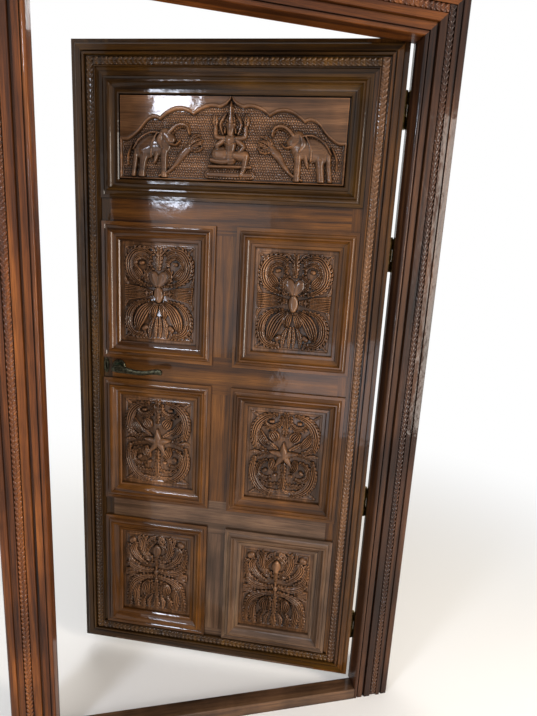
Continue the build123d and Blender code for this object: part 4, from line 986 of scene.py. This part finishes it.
def lay_floor():
    """A pale floor that keeps the shadow and fades to white further out."""
    deselect()
    bpy.ops.mesh.primitive_plane_add(size=FLOOR, location=(0, 0, 0))
    floor = bpy.context.object
    floor.name = "floor"
    material, tree = new_material("floor_pale")
    where = add(tree, "ShaderNodeTexCoord").outputs["Object"]
    far = add(tree, "ShaderNodeVectorMath", {"operation": "LENGTH"}, i0=where).outputs["Value"]
    away = add(tree, "ShaderNodeMapRange", {"interpolation_type": "SMOOTHSTEP"}, Value=far,
               From_Min=FADE_FROM, From_Max=FADE_TO).outputs[0]
    fade = add(tree, "ShaderNodeMath", {"operation": "MULTIPLY"}, i0=away, i1=seen_rays(tree)).outputs[0]
    pale = add(tree, "ShaderNodeBsdfPrincipled", Base_Color=(*linear("#efece6"), 1), Roughness=0.7)
    white = add(tree, "ShaderNodeEmission", Color=(1, 1, 1, 1), Strength=1.0)
    mixed = add(tree, "ShaderNodeMixShader", Fac=fade, i1=pale.outputs[0], i2=white.outputs[0])
    add(tree, "ShaderNodeOutputMaterial", Surface=mixed.outputs[0])
    floor.data.materials.append(material)
    return floor


def set_camera():
    """The camera at the photograph's angle."""
    yaw, pitch, roll = (math.radians(a) for a in (YAW, PITCH, ROLL))
    level = Vector((math.sin(yaw), math.cos(yaw), 0))
    right = Vector((math.cos(yaw), -math.sin(yaw), 0))
    upward = Vector((0, 0, 1))
    ahead = math.cos(pitch) * level - math.sin(pitch) * upward
    top = math.sin(pitch) * level + math.cos(pitch) * upward
    side = math.cos(roll) * right + math.sin(roll) * top
    above = -math.sin(roll) * right + math.cos(roll) * top
    bpy.ops.object.camera_add()
    camera = bpy.context.object
    turn = Matrix((side, above, -ahead)).transposed().to_4x4()
    camera.matrix_world = Matrix.Translation(CAMERA_AT) @ turn
    camera.data.sensor_width = SENSOR_MM
    camera.data.lens = SENSOR_MM * FOCAL_PX / PICTURE_PX
    camera.data.clip_start = 0.02
    bpy.context.scene.camera = camera


def hang_lamps():
    """The area lamps, each turned to its aim."""
    for name, at, to, size, power, tint in LAMPS:
        bpy.ops.object.light_add(type="AREA", location=at)
        lamp = bpy.context.object
        lamp.name = name
        lamp.data.shape = "RECTANGLE"
        lamp.data.size, lamp.data.size_y = size
        lamp.data.energy = power
        lamp.data.color = linear(tint)
        lamp.rotation_euler = (Vector(to) - Vector(at)).to_track_quat("-Z", "Y").to_euler()


def white_surround():
    """A world that is white where it is seen and lights the door at a plain level."""
    world = bpy.data.worlds.new("surround")
    bpy.context.scene.world = world
    world.use_nodes = True
    tree = world.node_tree
    tree.nodes.clear()
    strength = add(tree, "ShaderNodeMapRange", Value=seen_rays(tree), To_Min=SURROUND, To_Max=1.0).outputs[0]
    sky = add(tree, "ShaderNodeBackground", Color=(1, 1, 1, 1), Strength=strength)
    add(tree, "ShaderNodeOutputWorld", Surface=sky.outputs[0])


class DOOR_OT_stage(bpy.types.Operator):
    """Sets the floor, the camera, the lamps and the white surround"""
    bl_idname = "door.stage"
    bl_label = "Stage"

    def execute(self, context):
        lay_floor()
        set_camera()
        hang_lamps()
        white_surround()
        context.scene.view_settings.view_transform = "Standard"
        return {"FINISHED"}


OPERATORS = (DOOR_OT_timber, DOOR_OT_carved_panels, DOOR_OT_figure_panel, DOOR_OT_leaf_chains,
             DOOR_OT_levers, DOOR_OT_stage)


class DOOR_PT_panel(bpy.types.Panel):
    """Lists the sizes, the tones and the steps in the sidebar"""
    bl_label = "Teak Door"
    bl_idname = "DOOR_PT_panel"
    bl_space_type = "VIEW_3D"
    bl_region_type = "UI"
    bl_category = "Teak Door"

    def draw(self, context):
        for group in (context.scene.door_sizes, context.scene.door_tones):
            for key in group.__annotations__:
                self.layout.prop(group, key)
        for operator in OPERATORS:
            self.layout.operator(operator.bl_idname)


CLASSES = (DoorSizes, DoorTones, *OPERATORS, DOOR_PT_panel)


def register():
    for cls in CLASSES:
        bpy.utils.register_class(cls)
    bpy.types.Scene.door_sizes = bpy.props.PointerProperty(type=DoorSizes)
    bpy.types.Scene.door_tones = bpy.props.PointerProperty(type=DoorTones)


def unregister():
    del bpy.types.Scene.door_tones
    del bpy.types.Scene.door_sizes
    for cls in reversed(CLASSES):
        bpy.utils.unregister_class(cls)


def main():
    register()
    bpy.ops.door.timber()
    bpy.ops.door.carved_panels()
    bpy.ops.door.figure_panel()
    bpy.ops.door.leaf_chains()
    bpy.ops.door.levers()
    bpy.ops.door.stage()


if __name__ == "__main__":
    main()
